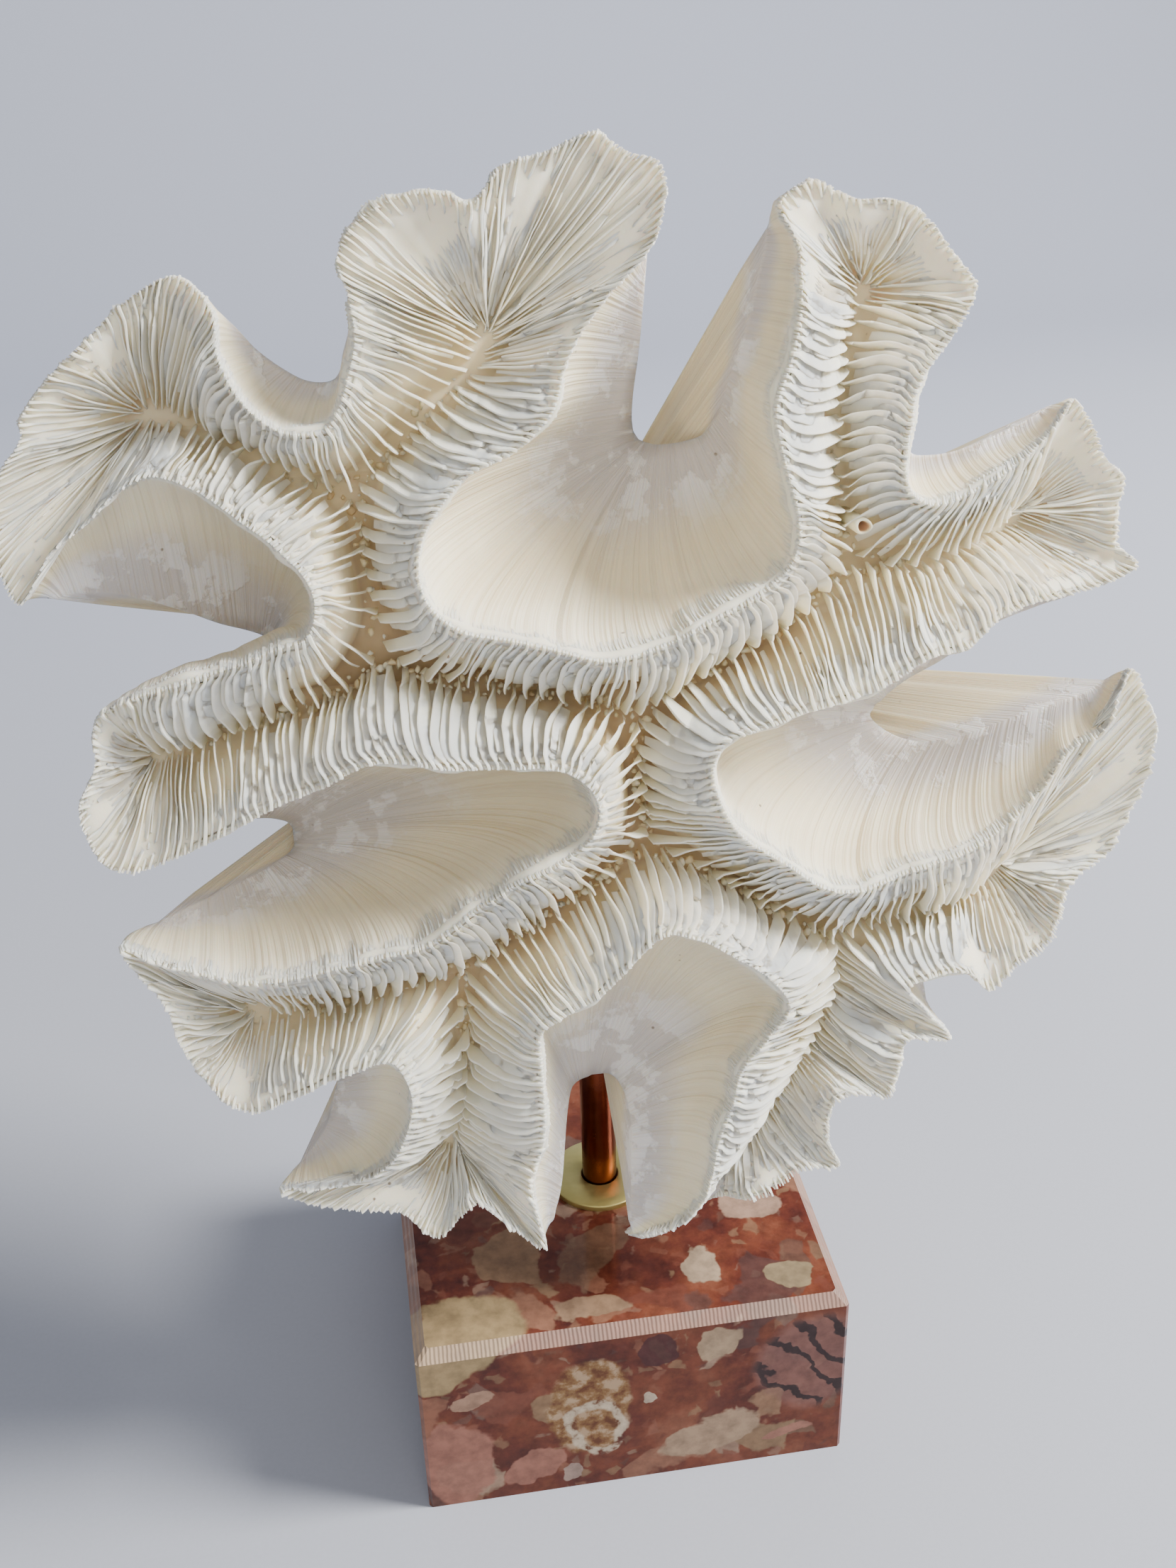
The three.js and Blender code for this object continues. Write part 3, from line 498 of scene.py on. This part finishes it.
# Large clasts: middle and radii (mm), turn about Y (degrees), colour.
CLASTS = (
    ((-42, -43, 46), (20, 11, 9), -22, (0.44, 0.33, 0.17)),
    ((-9, -42, 50), (9, 4.5, 3), 0, (0.36, 0.24, 0.15)),
    ((18, -34, 50), (5, 7, 3), 0, (0.50, 0.39, 0.27)),
    ((38, -40, 49), (6, 5, 3), 0, (0.34, 0.27, 0.16)),
    ((35, -16, 50), (9, 6, 3), 0, (0.48, 0.33, 0.24)),
    ((44, 12, 49), (7, 11, 5), 0, (0.46, 0.30, 0.22)),
    ((-20, 24, 50), (13, 8, 4), 0, (0.38, 0.26, 0.17)),
    ((-42, -49, 13), (10, 5, 15), 4, (0.40, 0.185, 0.135)),
    ((-25, -50, 9), (8, 4, 5), -30, (0.40, 0.185, 0.135)),
    ((-37, -50, 33), (6, 4, 2.6), -6, (0.46, 0.29, 0.20)),
    ((6, -50, 42), (4.5, 4, 6), 35, (0.085, 0.028, 0.028)),
    ((19, -50, 40), (4, 4, 6), 35, (0.46, 0.34, 0.22)),
    ((18, -50, 11), (13, 5, 6), -28, (0.46, 0.33, 0.22)),
    ((3, -50, 25), (1.6, 3, 1.8), 0, (0.62, 0.52, 0.40)),
    ((36, -50, 9), (7, 4, 2.2), -12, (0.40, 0.19, 0.14)),
    ((-16, -50, 6), (3, 3, 3), 0, (0.42, 0.31, 0.26)),
    ((50, -20, 22), (4, 14, 9), 12, (0.42, 0.30, 0.20)),
    ((50, 22, 14), (4, 9, 8), -20, (0.40, 0.19, 0.14)),
    ((-50, -8, 26), (4, 16, 9), 18, (0.38, 0.27, 0.16)),
    ((-50, 30, 15), (4, 10, 8), 0, (0.42, 0.20, 0.15)),
    ((-24, 50, 28), (15, 4, 10), 24, (0.40, 0.29, 0.18)),
    ((20, 50, 20), (12, 4, 11), -18, (0.42, 0.21, 0.15)),
)

# Layers of small clasts: cells to the metre, edge from and to, strength.
CLAST_LAYERS = ((260.0, 0.1, 0.25, 0.5), (120.0, 0.08, 0.16, 0.8), (55.0, 0.08, 0.12, 0.85))


def marble_material():
    """Polished breccia: olive, pink and pale clasts in a rust-red matrix, with dark veins."""
    n = Nodes("breccia")
    drift = n.noise(70.0, 4.0, 0.55).outputs["Color"]
    centred = n.add("ShaderNodeVectorMath", {0: drift, 1: (0.5, 0.5, 0.5)}, operation="SUBTRACT").outputs[0]
    shifted = n.add("ShaderNodeVectorMath", {0: centred, "Scale": 0.011}, operation="SCALE").outputs[0]
    warp = n.add("ShaderNodeVectorMath", {0: n.position, 1: shifted}, operation="ADD").outputs[0]
    mottle = n.noise(55.0, 6.0, 0.64).outputs["Fac"]
    speck = n.noise(260.0, 4.0, 0.6).outputs["Fac"]
    color = n.ramp(mottle, ((0.30, (0.055, 0.018, 0.016)), (0.43, (0.14, 0.036, 0.022)),
                            (0.55, (0.21, 0.062, 0.032)), (0.72, (0.30, 0.115, 0.065))))
    palette = ((0.0, (0.12, 0.032, 0.022)), (0.25, (0.26, 0.09, 0.055)), (0.45, (0.36, 0.19, 0.12)),
               (0.62, (0.34, 0.23, 0.13)), (0.78, (0.10, 0.045, 0.042)), (0.92, (0.44, 0.31, 0.22)))
    for scale, low, high, amount in CLAST_LAYERS:
        cells = n.add("ShaderNodeTexVoronoi", {"Scale": scale, "Vector": warp, "Randomness": 1.0})
        edges = n.add("ShaderNodeTexVoronoi", {"Scale": scale, "Vector": warp, "Randomness": 1.0},
                      feature="DISTANCE_TO_EDGE")
        split = n.add("ShaderNodeSeparateColor", {"Color": cells.outputs["Color"]})
        chosen = n.between(split.outputs[1], 0.55, 0.58)
        inside = n.between(edges.outputs["Distance"], low, high)
        clast = n.ramp(split.outputs[0], palette)
        color = n.mix(n.math("MULTIPLY", n.math("MULTIPLY", chosen, inside), amount), color, clast)
    for center, radius, turn, tint in CLASTS:
        mask = n.between(placed(n, center, radius, turn, warp), 1.0, 0.9)
        color = n.mix(n.math("MULTIPLY", mask, 0.92), color, tint)
    fossil = placed(n, (-11, -50, 26), (11, 7, 16), 12, warp)
    body = n.between(fossil, 1.0, 0.85)
    flecks = n.ramp(speck, ((0.38, (0.20, 0.075, 0.03)), (0.5, (0.33, 0.19, 0.075)),
                            (0.6, (0.52, 0.38, 0.24))))
    color = n.mix(n.math("MULTIPLY", body, 0.85), color, flecks)
    rim = placed(n, (-10, -50, 20), (7, 8, 9), 0, warp)
    ring = n.math("MULTIPLY", n.between(rim, 1.12, 1.02), n.between(rim, 0.72, 0.84))
    ring = n.math("MULTIPLY", ring, n.between(speck, 0.36, 0.5))
    color = n.mix(n.math("MULTIPLY", ring, 0.85), color, (0.68, 0.58, 0.44))
    veined = n.between(placed(n, (43, -50, 31), (16, 8, 15), -30, warp), 1.05, 0.8)
    color = n.mix(n.math("MULTIPLY", veined, 0.7), color, (0.26, 0.135, 0.115))
    bands = n.add("ShaderNodeTexWave", {"Vector": warp, "Scale": 62.0, "Distortion": 5.0, "Detail": 3.0,
                                        "Detail Scale": 1.5}, wave_type="BANDS", bands_direction="DIAGONAL")
    vein = n.math("MULTIPLY", veined, n.between(bands.outputs["Fac"], 0.24, 0.1))
    color = n.mix(n.math("MULTIPLY", vein, 0.9), color, (0.025, 0.016, 0.018))
    tone = n.ramp(speck, ((0.3, (0.32, 0.30, 0.30)), (0.62, (0.68, 0.65, 0.64))))
    color = n.mix(0.8, color, tone, "MULTIPLY")
    normal = n.add("ShaderNodeNewGeometry").outputs["True Normal"]
    slope = n.add("ShaderNodeSeparateXYZ", {"Vector": normal}).outputs["Z"]
    bevel = n.math("MULTIPLY", n.between(slope, 0.25, 0.4), n.between(slope, 0.95, 0.85))
    scratch = n.add("ShaderNodeTexWave", {"Vector": n.position, "Scale": 330.0, "Distortion": 1.5},
                    wave_type="BANDS", bands_direction="X")
    # The ground bevel is painted paler: partly the paler ground finish, partly a painted highlight along the
    # lit edge.
    color = n.mix(n.math("MULTIPLY", bevel, 0.35), color, (0.60, 0.44, 0.36))
    n.feed(n.shader.inputs["Base Color"], color)
    n.shader.inputs["Specular IOR Level"].default_value = 0.2
    n.feed(n.shader.inputs["Roughness"], n.math("MULTIPLY_ADD", bevel, 0.22, 0.1))
    height = n.math("MULTIPLY", n.math("MULTIPLY", scratch.outputs["Fac"], bevel), 3.0)
    n.bump(n.math("ADD", height, n.math("MULTIPLY", speck, 0.3)), 0.0001, 0.5)
    return n.material


def metal_material(name, dark, light, roughness, scale):
    n = Nodes(name)
    cloud = n.noise(scale, 4.0, 0.6).outputs["Fac"]
    n.feed(n.shader.inputs["Base Color"], n.ramp(cloud, ((0.32, dark), (0.68, light))))
    n.shader.inputs["Metallic"].default_value = 1.0
    spread = n.math("MULTIPLY_ADD", n.noise(scale * 6, 3.0).outputs["Fac"], 0.2, roughness - 0.1)
    n.feed(n.shader.inputs["Roughness"], spread)
    n.bump(n.noise(scale * 12, 3.0).outputs["Fac"], 0.00005, 0.3)
    return n.material


# The coral's wall

coral_look = coral_material()
section = Section(np.arange(0, CREST_LENGTH, CREST_LENGTH / round(CREST_LENGTH / WALL_STEP)))
count = len(section.arc)
# Each loop gets a tone for the coral's colour ramp, painted shade: darker on the rear, a little darker down
# the outer wall, darkest on the floor between the septa.
loops, wall_shade, scoops = [], [], []
striae = 0.6 * wander(section.arc, CREST_LENGTH, 2.6, 61) + 0.4 * wander(section.arc, CREST_LENGTH, 5.2, 62)


def add_loop(points, tone, scoop):
    loops.append(points)
    wall_shade.append(np.broadcast_to(tone, count))
    scoops.append(np.broadcast_to(scoop, count))


# Shares of the way: rear to foot, foot to lip, over the crest (reach and drop), crest to valley.
BACK_SHARES = (1.0, 0.85, 0.68, 0.5, 0.33, 0.16)
WALL_SHARES = (1.0, 0.92, 0.84, 0.75, 0.66, 0.57, 0.48, 0.39, 0.31, 0.23, 0.16, 0.1, 0.05, 0.0)
RIM_STEPS = ((0.75, 0.35), (0.35, 0.08), (-0.2, 0.0), (-0.7, 0.12))
FLOOR_SHARES = (0.93, 0.87, 0.79, 0.68, 0.56, 0.43, 0.3, 0.18, 0.08, 0.0)
for share in BACK_SHARES:
    ring = section.back * (1 - share * (1 - BACK_SCALE))
    ring[:, 2] = section.back[:, 2] * (1 - share)
    ring += section.side * (0.8 * wander(section.arc, CREST_LENGTH, 6, 31))[:, None] * (share < 1)
    add_loop(ring, 0.35, 0.5)
lip = lip_of(section)
for t in WALL_SHARES:
    wall = section.outer(np.full(count, t), lip)
    wobble = 0.5 * wander(section.arc, CREST_LENGTH, 11, 41) + 0.25 * wander(section.arc, CREST_LENGTH, 4, 42)
    wall[:, 2] += wobble * math.sin(math.pi * t)
    wall += section.side * (0.26 * striae * math.sin(math.pi * min(1.0, t + 0.15)))[:, None]
    add_loop(wall, 0.04 + 0.1 * min(1.0, 3 * t), t)
for reach, drop in RIM_STEPS:
    rim = section.crest + section.side * (reach * (0.5 + 0.8 * section.open))[:, None]
    rim[:, 2] -= 0.35 + drop * (0.6 + 0.9 * section.open)
    add_loop(rim, 0.04, 0.0)
for s in FLOOR_SHARES:
    floor_line = section.inner(s)
    floor_line[:, 2] -= gap_depth(s, section.open)
    trench = section.open * smooth((84 - section.far) / 25)
    floor_line[:, 2] -= 2.0 * float(smooth((0.1 - s) / 0.1)) * trench
    shade = 0.06 + 0.16 * float(smooth((0.95 - s) / 0.8)) + 0.36 * float(smooth((0.2 - s) / 0.2))
    add_loop(floor_line, shade * paleness(section), 0.0)
grid = np.array(loops)
level = np.arange(len(loops) - 1)[:, None] * count
place = np.arange(count)[None, :]
after = (place + 1) % count
quads = np.stack((level + place, level + after, level + count + after, level + count + place), axis=-1)
faces = [tuple(f) for f in quads.reshape(-1, 4)]
last = (len(loops) - 1) * count
for ring, first, facing in ((grid[0], 0, -1), (grid[-1], last, 1)):
    outline = [Vector((p[0], p[1], 0.0)) for p in ring]
    for a, b, c in tessellate_polygon([outline]):
        ab, ac = outline[b] - outline[a], outline[c] - outline[a]
        up = ab.x * ac.y - ab.y * ac.x
        turn = (a, b, c) if up * facing > 0 else (a, c, b)
        faces.append(tuple(first + i for i in turn))
rib_place = np.broadcast_to(section.arc, (len(loops), count))
walls = add_mesh("coral_walls", to_world(grid), faces, coral_look,
                 {"tone": wall_shade, "scoop": scoops, "rib_place": rib_place})
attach(walls, "root")
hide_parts("coral_core", *("lobe_" + lobe for lobe in LOBE_NAMES))


# The septa: thin toothed blades from the valley over the crest, ending as low ribs on the outer wall

# Septa come in four orders, from the largest to the smallest, with these values for each.
SHARE_BY_ORDER = np.array((8.0, 4.0, 2.0, 1.0))
START_BY_ORDER = np.array((0.0, 0.0, 0.04, 0.4))
START_SPREAD_BY_ORDER = np.array((0.03, 0.05, 0.22, 0.3))
THICK_BY_ORDER = np.array((0.18, 0.17, 0.15, 0.13))
EXSERT_BY_ORDER = np.array((0.5, 0.45, 0.3, 0.15))
RIB_BY_ORDER = np.array((1.0, 0.9, 0.8, 0.6))
random = np.random.default_rng(SEPTA_SEED)
septum_count = 8 * round(CREST_LENGTH / SEPTUM_STEP / 8)
step = CREST_LENGTH / septum_count
index = np.arange(septum_count)
blade = Section((index + random.uniform(-0.3, 0.3, septum_count)) * step % CREST_LENGTH)
order = np.where(index % 2, 3, np.where(index % 4, 2, np.where(index % 8, 1, 0)))
share_of = SHARE_BY_ORDER[order]
crowding = np.clip(blade.crowding, 0.02, 1.5)
room = np.clip((0.62 / (share_of * step) - crowding) / np.maximum(1e-3, 1.0 - crowding), 0.0, 0.9)
room = np.where(crowding >= 1.0, 0.0, room)
own = START_BY_ORDER[order]
own = own + random.uniform(0.0, 1.0, septum_count) * START_SPREAD_BY_ORDER[order]
start = np.maximum(room, own)
short = smooth(start / 0.2)
inset = np.where(order < 2, -1.1, -0.6) * blade.open + random.uniform(-0.3, 0.7, septum_count) - blade.past
lean = 3.0 * wander(blade.arc, CREST_LENGTH, 24, 51) * (0.35 + 0.65 * blade.open)
lean += random.normal(0.0, 0.22, septum_count)
thin = 0.72 + 0.28 * blade.open
thick = THICK_BY_ORDER[order] * random.uniform(0.8, 1.2, septum_count) * thin
exsert = EXSERT_BY_ORDER[order] + random.uniform(-0.2, 0.35, septum_count)
exsert *= 1.7 - 0.85 * blade.open
exsert += np.abs(wander(blade.arc, CREST_LENGTH, 2.4, 55)) ** 2 * (1.3 - 1.0 * blade.open)
ripple = wander(blade.arc, CREST_LENGTH, 5, 52) * np.pi
tooth = random.uniform(-1.0, 1.0, (septum_count, TOOTH_COUNT))
tooth[:, 1:] = 0.45 * tooth[:, :-1] + 0.7 * tooth[:, 1:]
notched = random.uniform(0, 1, (septum_count, TOOTH_COUNT)) > 0.94
notch = np.where(notched, random.uniform(0.5, 1.6, (septum_count, TOOTH_COUNT)), 0.0)
lobe_size = random.uniform(-0.3, 1.0, septum_count)
pale = paleness(blade)
fold = 1.7 * wander(blade.arc, CREST_LENGTH, 8, 53) + 0.5 * wander(blade.arc, CREST_LENGTH, 3, 54)
raised = (order == 0) & (random.uniform(0, 1, septum_count) > 0.6)
tall = np.where(raised, random.uniform(0.4, 1.8, septum_count), 0.0)

INNER = np.array((0.0, 0.01, 0.035, 0.07, 0.12, 0.18, 0.24, 0.31, 0.38, 0.45, 0.52, 0.59, 0.66, 0.73,
                  0.80, 0.86, 0.92, 0.97, 1.0))
OUTER = np.array((0.02, 0.05, 0.085, 0.125, 0.17))
low, high, spread, blade_shade, blade_scoop = [], [], [], [], []
for k, x in enumerate(INNER):
    s = start + (1.0 - start) * x
    reach = inset + (blade.width - inset) * s
    edge = blade.valley + blade.side * reach[:, None]
    edge[:, 2] = edge_height(blade, s)
    floor_w = edge[:, 2] - gap_depth(s, blade.open)
    inside = smooth((1.0 - x) / 0.2)
    lift = (0.22 * tooth[:, k] - notch[:, k] * (order < 3)) * inside
    lift += (1.3 * lobe_size) * np.exp(-((s - start - 0.07) / 0.07) ** 2) * (1 - short)
    lift -= (0.3 * (order == 2) + 0.75 * (order == 3)) * inside
    lift += exsert * smooth((x - 0.8) / 0.2)
    lift += fold * np.sin(np.pi * s) * (1.25 - 0.9 * blade.open) + tall * np.exp(-((s - 0.3) / 0.2) ** 2)
    taper = smooth(np.full(septum_count, x) / np.where(short > 0.5, 0.5, 0.035))
    top_w = floor_w - 0.3 + (edge[:, 2] + lift - floor_w + 0.3) * (0.1 + 0.9 * taper)
    wave = 0.3 * np.sin(4.0 * s + ripple) + 0.12 * np.sin(11.0 * s + 2 * ripple)
    bend = lean * np.sin(np.pi * np.clip(s, 0.02, 0.98)) ** 0.7
    foot = edge + blade.along * (wave * inside)[:, None]
    foot[:, 2] = floor_w - 0.5
    edge = edge + blade.along * ((wave * 1.3 + bend) * inside)[:, None]
    edge[:, 2] = top_w
    low.append(foot)
    high.append(edge)
    wide = 1.0 + 0.6 * smooth((s - 0.6) / 0.35)
    spread.append(np.stack((thick * wide * 1.5, thick * wide)))
    # Painted shade: the blades get darker towards their feet and towards the valley's middle, less so out on
    # the lobes.
    deep = (0.05 + 0.13 * smooth((0.95 - s) / 0.8) + 0.18 * smooth((0.2 - s) / 0.2)) * pale
    blade_shade.append(np.stack((deep, 0.01 + 0.08 * smooth((0.5 - s) / 0.5) * pale)))
    blade_scoop.append(0.0)
under = lip_of(blade)
for k, t in enumerate(OUTER):
    p = blade.outer(np.full(septum_count, t), under)
    q = blade.outer(np.full(septum_count, t + 0.01), under)
    run = (q - p) / np.maximum(1e-9, np.linalg.norm(q - p, axis=1, keepdims=True))
    out = blade.side - run * np.sum(blade.side * run, axis=1, keepdims=True)
    out /= np.maximum(0.2, np.linalg.norm(out, axis=1, keepdims=True))
    fade = (1 - k / (len(OUTER) - 1)) ** 1.3
    rise = (0.2 + 0.15 * tooth[:, 20 + k]) * fade * RIB_BY_ORDER[order] - 0.12 * (1 - fade)
    low.append(p - out * 0.5)
    high.append(p + out * rise[:, None])
    spread.append(np.stack((thick * 2.2, thick * (1.5 - 0.9 * k / len(OUTER)))))
    # The low ribs on the outer wall get a little painted shade away from the crest.
    tip_shade = 0.03 + 0.06 * k / len(OUTER)
    blade_shade.append(np.stack((np.full(septum_count, 0.05), np.full(septum_count, tip_shade))))
    blade_scoop.append(t)

low, high = np.stack(low, 1), np.stack(high, 1)
spread, blade_shade = np.array(spread), np.array(blade_shade)
across = blade.along[:, None, :]
half_low, half_high = spread[:, 0].T[:, :, None], spread[:, 1].T[:, :, None]
corners = np.stack((low - across * half_low, high - across * half_high,
                    high + across * half_high, low + across * half_low), 2)
low_shade, high_shade = blade_shade[:, 0].T, blade_shade[:, 1].T
corner_shade = np.stack((low_shade, high_shade, high_shade, low_shade), 2)
corner_scoop = np.array(blade_scoop)[None, :, None]
stations = corners.shape[1]
ladder = []
for k in range(stations - 1):
    for a in range(4):
        b = (a + 1) % 4
        ladder.append((4 * k + a, 4 * k + b, 4 * k + 4 + b, 4 * k + 4 + a))
ladder.append((3, 2, 1, 0))
ladder.append(tuple(4 * (stations - 1) + a for a in range(4)))
ladder = np.array(ladder)
for lobe_index, lobe in enumerate(LOBE_NAMES):
    chosen = np.flatnonzero(blade.lobe == lobe_index)
    faces = (ladder[None] + (np.arange(len(chosen)) * 4 * stations)[:, None, None]).reshape(-1, 4)
    lobe_shade = corner_shade[chosen]
    septa = add_mesh("septa_" + lobe, to_world(corners[chosen]), faces, coral_look,
                     {"tone": lobe_shade, "scoop": np.broadcast_to(corner_scoop, lobe_shade.shape)}, crisp=50)
    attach(septa, "root")


# Spongy crumbs along the middle of the valleys

CRUMB_STEP = 1.15
CRUMB_LIMIT = 78.0
CRUMB_OPEN = 0.5
corner = [np.array(c, float) for c in ((1, 0, 0), (-1, 0, 0), (0, 1, 0), (0, -1, 0), (0, 0, 1), (0, 0, -1))]
octahedron = ((0, 2, 4), (2, 1, 4), (1, 3, 4), (3, 0, 4), (2, 0, 5), (1, 2, 5), (3, 1, 5), (0, 3, 5))
halves = {}
crumb_faces = []
for a, b, c in octahedron:
    mid = []
    for pair in ((a, b), (b, c), (c, a)):
        key = tuple(sorted(pair))
        if key not in halves:
            halves[key] = len(corner)
            middle = corner[key[0]] + corner[key[1]]
            corner.append(middle / np.linalg.norm(middle))
        mid.append(halves[key])
    crumb_faces += [(a, mid[0], mid[2]), (mid[0], b, mid[1]), (mid[2], mid[1], c), tuple(mid)]
ball = np.array(corner)
crumb_faces = np.array(crumb_faces)
spots = Section(np.arange(0, CREST_LENGTH, CREST_LENGTH / round(CREST_LENGTH / CRUMB_STEP)))
inner_part = (spots.open > CRUMB_OPEN) & (spots.far < CRUMB_LIMIT)
spots = Section(spots.arc[inner_part])
crumb_count = len(spots.arc)
middle = spots.valley - spots.side * (spots.past + random.uniform(-1.6, 0.6, crumb_count))[:, None]
middle[:, 2] += VALLEY_FILL * spots.open - 3.4 + random.uniform(-1.3, 0.9, crumb_count)
radius = random.uniform(0.35, 0.95, (crumb_count, 1, 1)) * random.uniform(0.6, 1.3, (crumb_count, 1, 3))
crumbs = middle[:, None, :] + ball[None] * radius * random.uniform(0.65, 1.3, (crumb_count, len(ball), 1))
crumb_tone = np.repeat(random.uniform(0.1, 0.6, crumb_count), len(ball))
faces = (crumb_faces[None] + (np.arange(crumb_count) * len(ball))[:, None, None]).reshape(-1, 3)
columella = add_mesh("columella", to_world(crumbs), faces, coral_look,
                     {"tone": crumb_tone, "scoop": np.zeros(len(crumb_tone))})
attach(columella, "root")


# Opening of an old tube beside the right lobes' fork

TUBE_SPOT = np.array((57.0, 43.0))
TUBE_PROFILE = ((1.55, -5.0), (1.6, 0.6), (1.45, 1.0), (1.15, 1.05), (0.95, 0.7), (0.9, -3.5))
around = np.linspace(0, 2 * np.pi, TUBE_SIDES, endpoint=False)
tube = np.array([[(r * math.cos(a) * 1.1, r * math.sin(a), h + 0.25 * math.sin(2 * a + 1)) for a in around]
                 for r, h in TUBE_PROFILE])
tube[..., 0] += TUBE_SPOT[0] + 0.35 * tube[..., 2]
tube[..., 1] += TUBE_SPOT[1] - 0.25 * tube[..., 2]
tube[..., 2] += dome(TUBE_SPOT) - 6.0
ring = np.arange(len(TUBE_PROFILE))[:, None] * TUBE_SIDES + np.arange(TUBE_SIDES)[None]
beyond = np.roll(ring, -1, 0)
faces = np.stack((ring, np.roll(ring, -1, 1), np.roll(beyond, -1, 1), beyond), -1)
# Painted shade: the tone darkens down into the tube's bore.
tube_shade = np.repeat((0.3, 0.25, 0.2, 0.45, 0.8, 1.0), TUBE_SIDES)
tube_piece = add_mesh("tube_opening", to_world(tube), faces.reshape(-1, 4), coral_look,
                      {"tone": tube_shade, "scoop": np.zeros(len(tube_shade))})
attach(tube_piece, "root")


# The stand

def lathe(name, profile, segments, material, node):
    """Turned piece around the Z axis; the profile (radius, height in mm) closes on itself."""
    angle = np.arange(segments) * 2 * np.pi / segments
    rings = np.array([[(r * math.cos(a), r * math.sin(a), z) for a in angle] for r, z in profile]) * MM
    faces = []
    for k in range(len(profile)):
        m = (k + 1) % len(profile)
        for i in range(segments):
            j = (i + 1) % segments
            faces.append((k * segments + i, k * segments + j, m * segments + j, m * segments + i))
    piece = add_mesh(name, rings.reshape(-1, 3), faces, material, crisp=40)
    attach(piece, "root")
    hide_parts(node)


copper = metal_material("copper", (0.10, 0.022, 0.012), (0.26, 0.075, 0.035), 0.24, 55.0)
brass = metal_material("brass", (0.46, 0.39, 0.13), (0.64, 0.55, 0.22), 0.46, 70.0)
ROD = ((0.02, 50.1), (3.9, 50.1), (4.25, 50.5), (4.25, 60.0), (4.23, 84.0), (4.25, 110.0),
       (4.25, 149.7), (3.95, 150.0), (0.02, 150.0))
DISC = ((4.6, 50.0), (12.25, 50.0), (12.25, 51.1), (12.17, 51.33), (11.95, 51.5), (4.8, 51.5), (4.6, 51.35))
lathe("rod", ROD, LATHE_SIDES, copper, "copper_rod")
lathe("disc", DISC, LATHE_SIDES, brass, "brass_disc")
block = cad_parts["marble_base"]
block.data.materials.clear()
block.data.materials.append(marble_material())


# Floor, light and camera

def studio_material(name, near, far):
    """Pale cloth, painted lighter towards the back as painted light on the backdrop."""
    n = Nodes(name)
    depth = n.add("ShaderNodeSeparateXYZ", {"Vector": n.position}).outputs["Y"]
    # Painted light: the colour brightens from front to back along Y.
    color = n.mix(n.between(depth, 0.05, 0.8), near, far)
    weave = n.noise(900.0, 2.0).outputs["Fac"]
    color = n.mix(0.12, color, n.ramp(weave, ((0.3, (0.75, 0.75, 0.75)), (0.7, (1.0, 1.0, 1.0)))), "MULTIPLY")
    n.feed(n.shader.inputs["Base Color"], color)
    n.shader.inputs["Roughness"].default_value = 0.9
    return n.material


SWEEP_START = 0.9
SWEEP_RADIUS = 0.5
quarter = [(SWEEP_START + SWEEP_RADIUS * math.sin(a), SWEEP_RADIUS - SWEEP_RADIUS * math.cos(a))
           for a in np.linspace(0, np.pi / 2, 24)]
sweep = [(-1.5, 0.0)] + quarter + [(1.4, 2.2)]
points = np.array([(x, y, z) for y, z in sweep for x in (-2.5, 2.5)])
faces = [(2 * k, 2 * k + 1, 2 * k + 3, 2 * k + 2) for k in range(len(sweep) - 1)]
cloth = studio_material("pale_floor", (0.42, 0.44, 0.50), (0.60, 0.64, 0.755))
floor = add_mesh("floor", points, faces, cloth)


def area_light(name, place, target, size, power, color):
    data = bpy.data.lights.new(name, "AREA")
    data.shape = "DISK"
    data.size = size
    data.energy = power
    data.color = color
    light = bpy.data.objects.new(name, data)
    light.location = place
    light.rotation_euler = (Vector(target) - Vector(place)).to_track_quat("-Z", "Y").to_euler()
    bpy.context.scene.collection.objects.link(light)


area_light("key", (0.93, -0.24, 0.92), (0, 0, 0.16), 0.45, 43.0, (1.0, 0.975, 0.94))
area_light("front", (-0.1, -1.15, 0.75), (0, 0, 0.18), 1.0, 5.5, (1.0, 0.965, 0.91))
world = bpy.data.worlds.new("studio")
bpy.context.scene.world = world
world.use_nodes = True
world.node_tree.nodes["Background"].inputs["Color"].default_value = (0.91, 0.93, 1.0, 1.0)
world.node_tree.nodes["Background"].inputs["Strength"].default_value = 0.42

CAMERA_YAW = math.radians(-8.222)
CAMERA_PITCH = math.radians(29.736)
CAMERA_ROLL = math.radians(-1.656)
CAMERA_PLACE = Vector((-0.046787, -0.323232, 0.349764))
CAMERA_LENS = 39.65
CAMERA_SENSOR = 36.0
back = Vector((math.sin(CAMERA_YAW) * math.cos(CAMERA_PITCH), -math.cos(CAMERA_YAW) * math.cos(CAMERA_PITCH),
               math.sin(CAMERA_PITCH)))
right = (-back).cross(Vector((0, 0, 1))).normalized()
up = right.cross(-back)
turned_right = right * math.cos(CAMERA_ROLL) + up * math.sin(CAMERA_ROLL)
turned_up = up * math.cos(CAMERA_ROLL) - right * math.sin(CAMERA_ROLL)
camera_data = bpy.data.cameras.new("camera")
camera_data.sensor_width = CAMERA_SENSOR
camera_data.lens = CAMERA_LENS
camera_data.clip_start = 0.01
camera = bpy.data.objects.new("camera", camera_data)
camera.matrix_world = Matrix((turned_right, turned_up, back)).transposed().to_4x4()
camera.location = CAMERA_PLACE
bpy.context.scene.collection.objects.link(camera)
bpy.context.scene.camera = camera
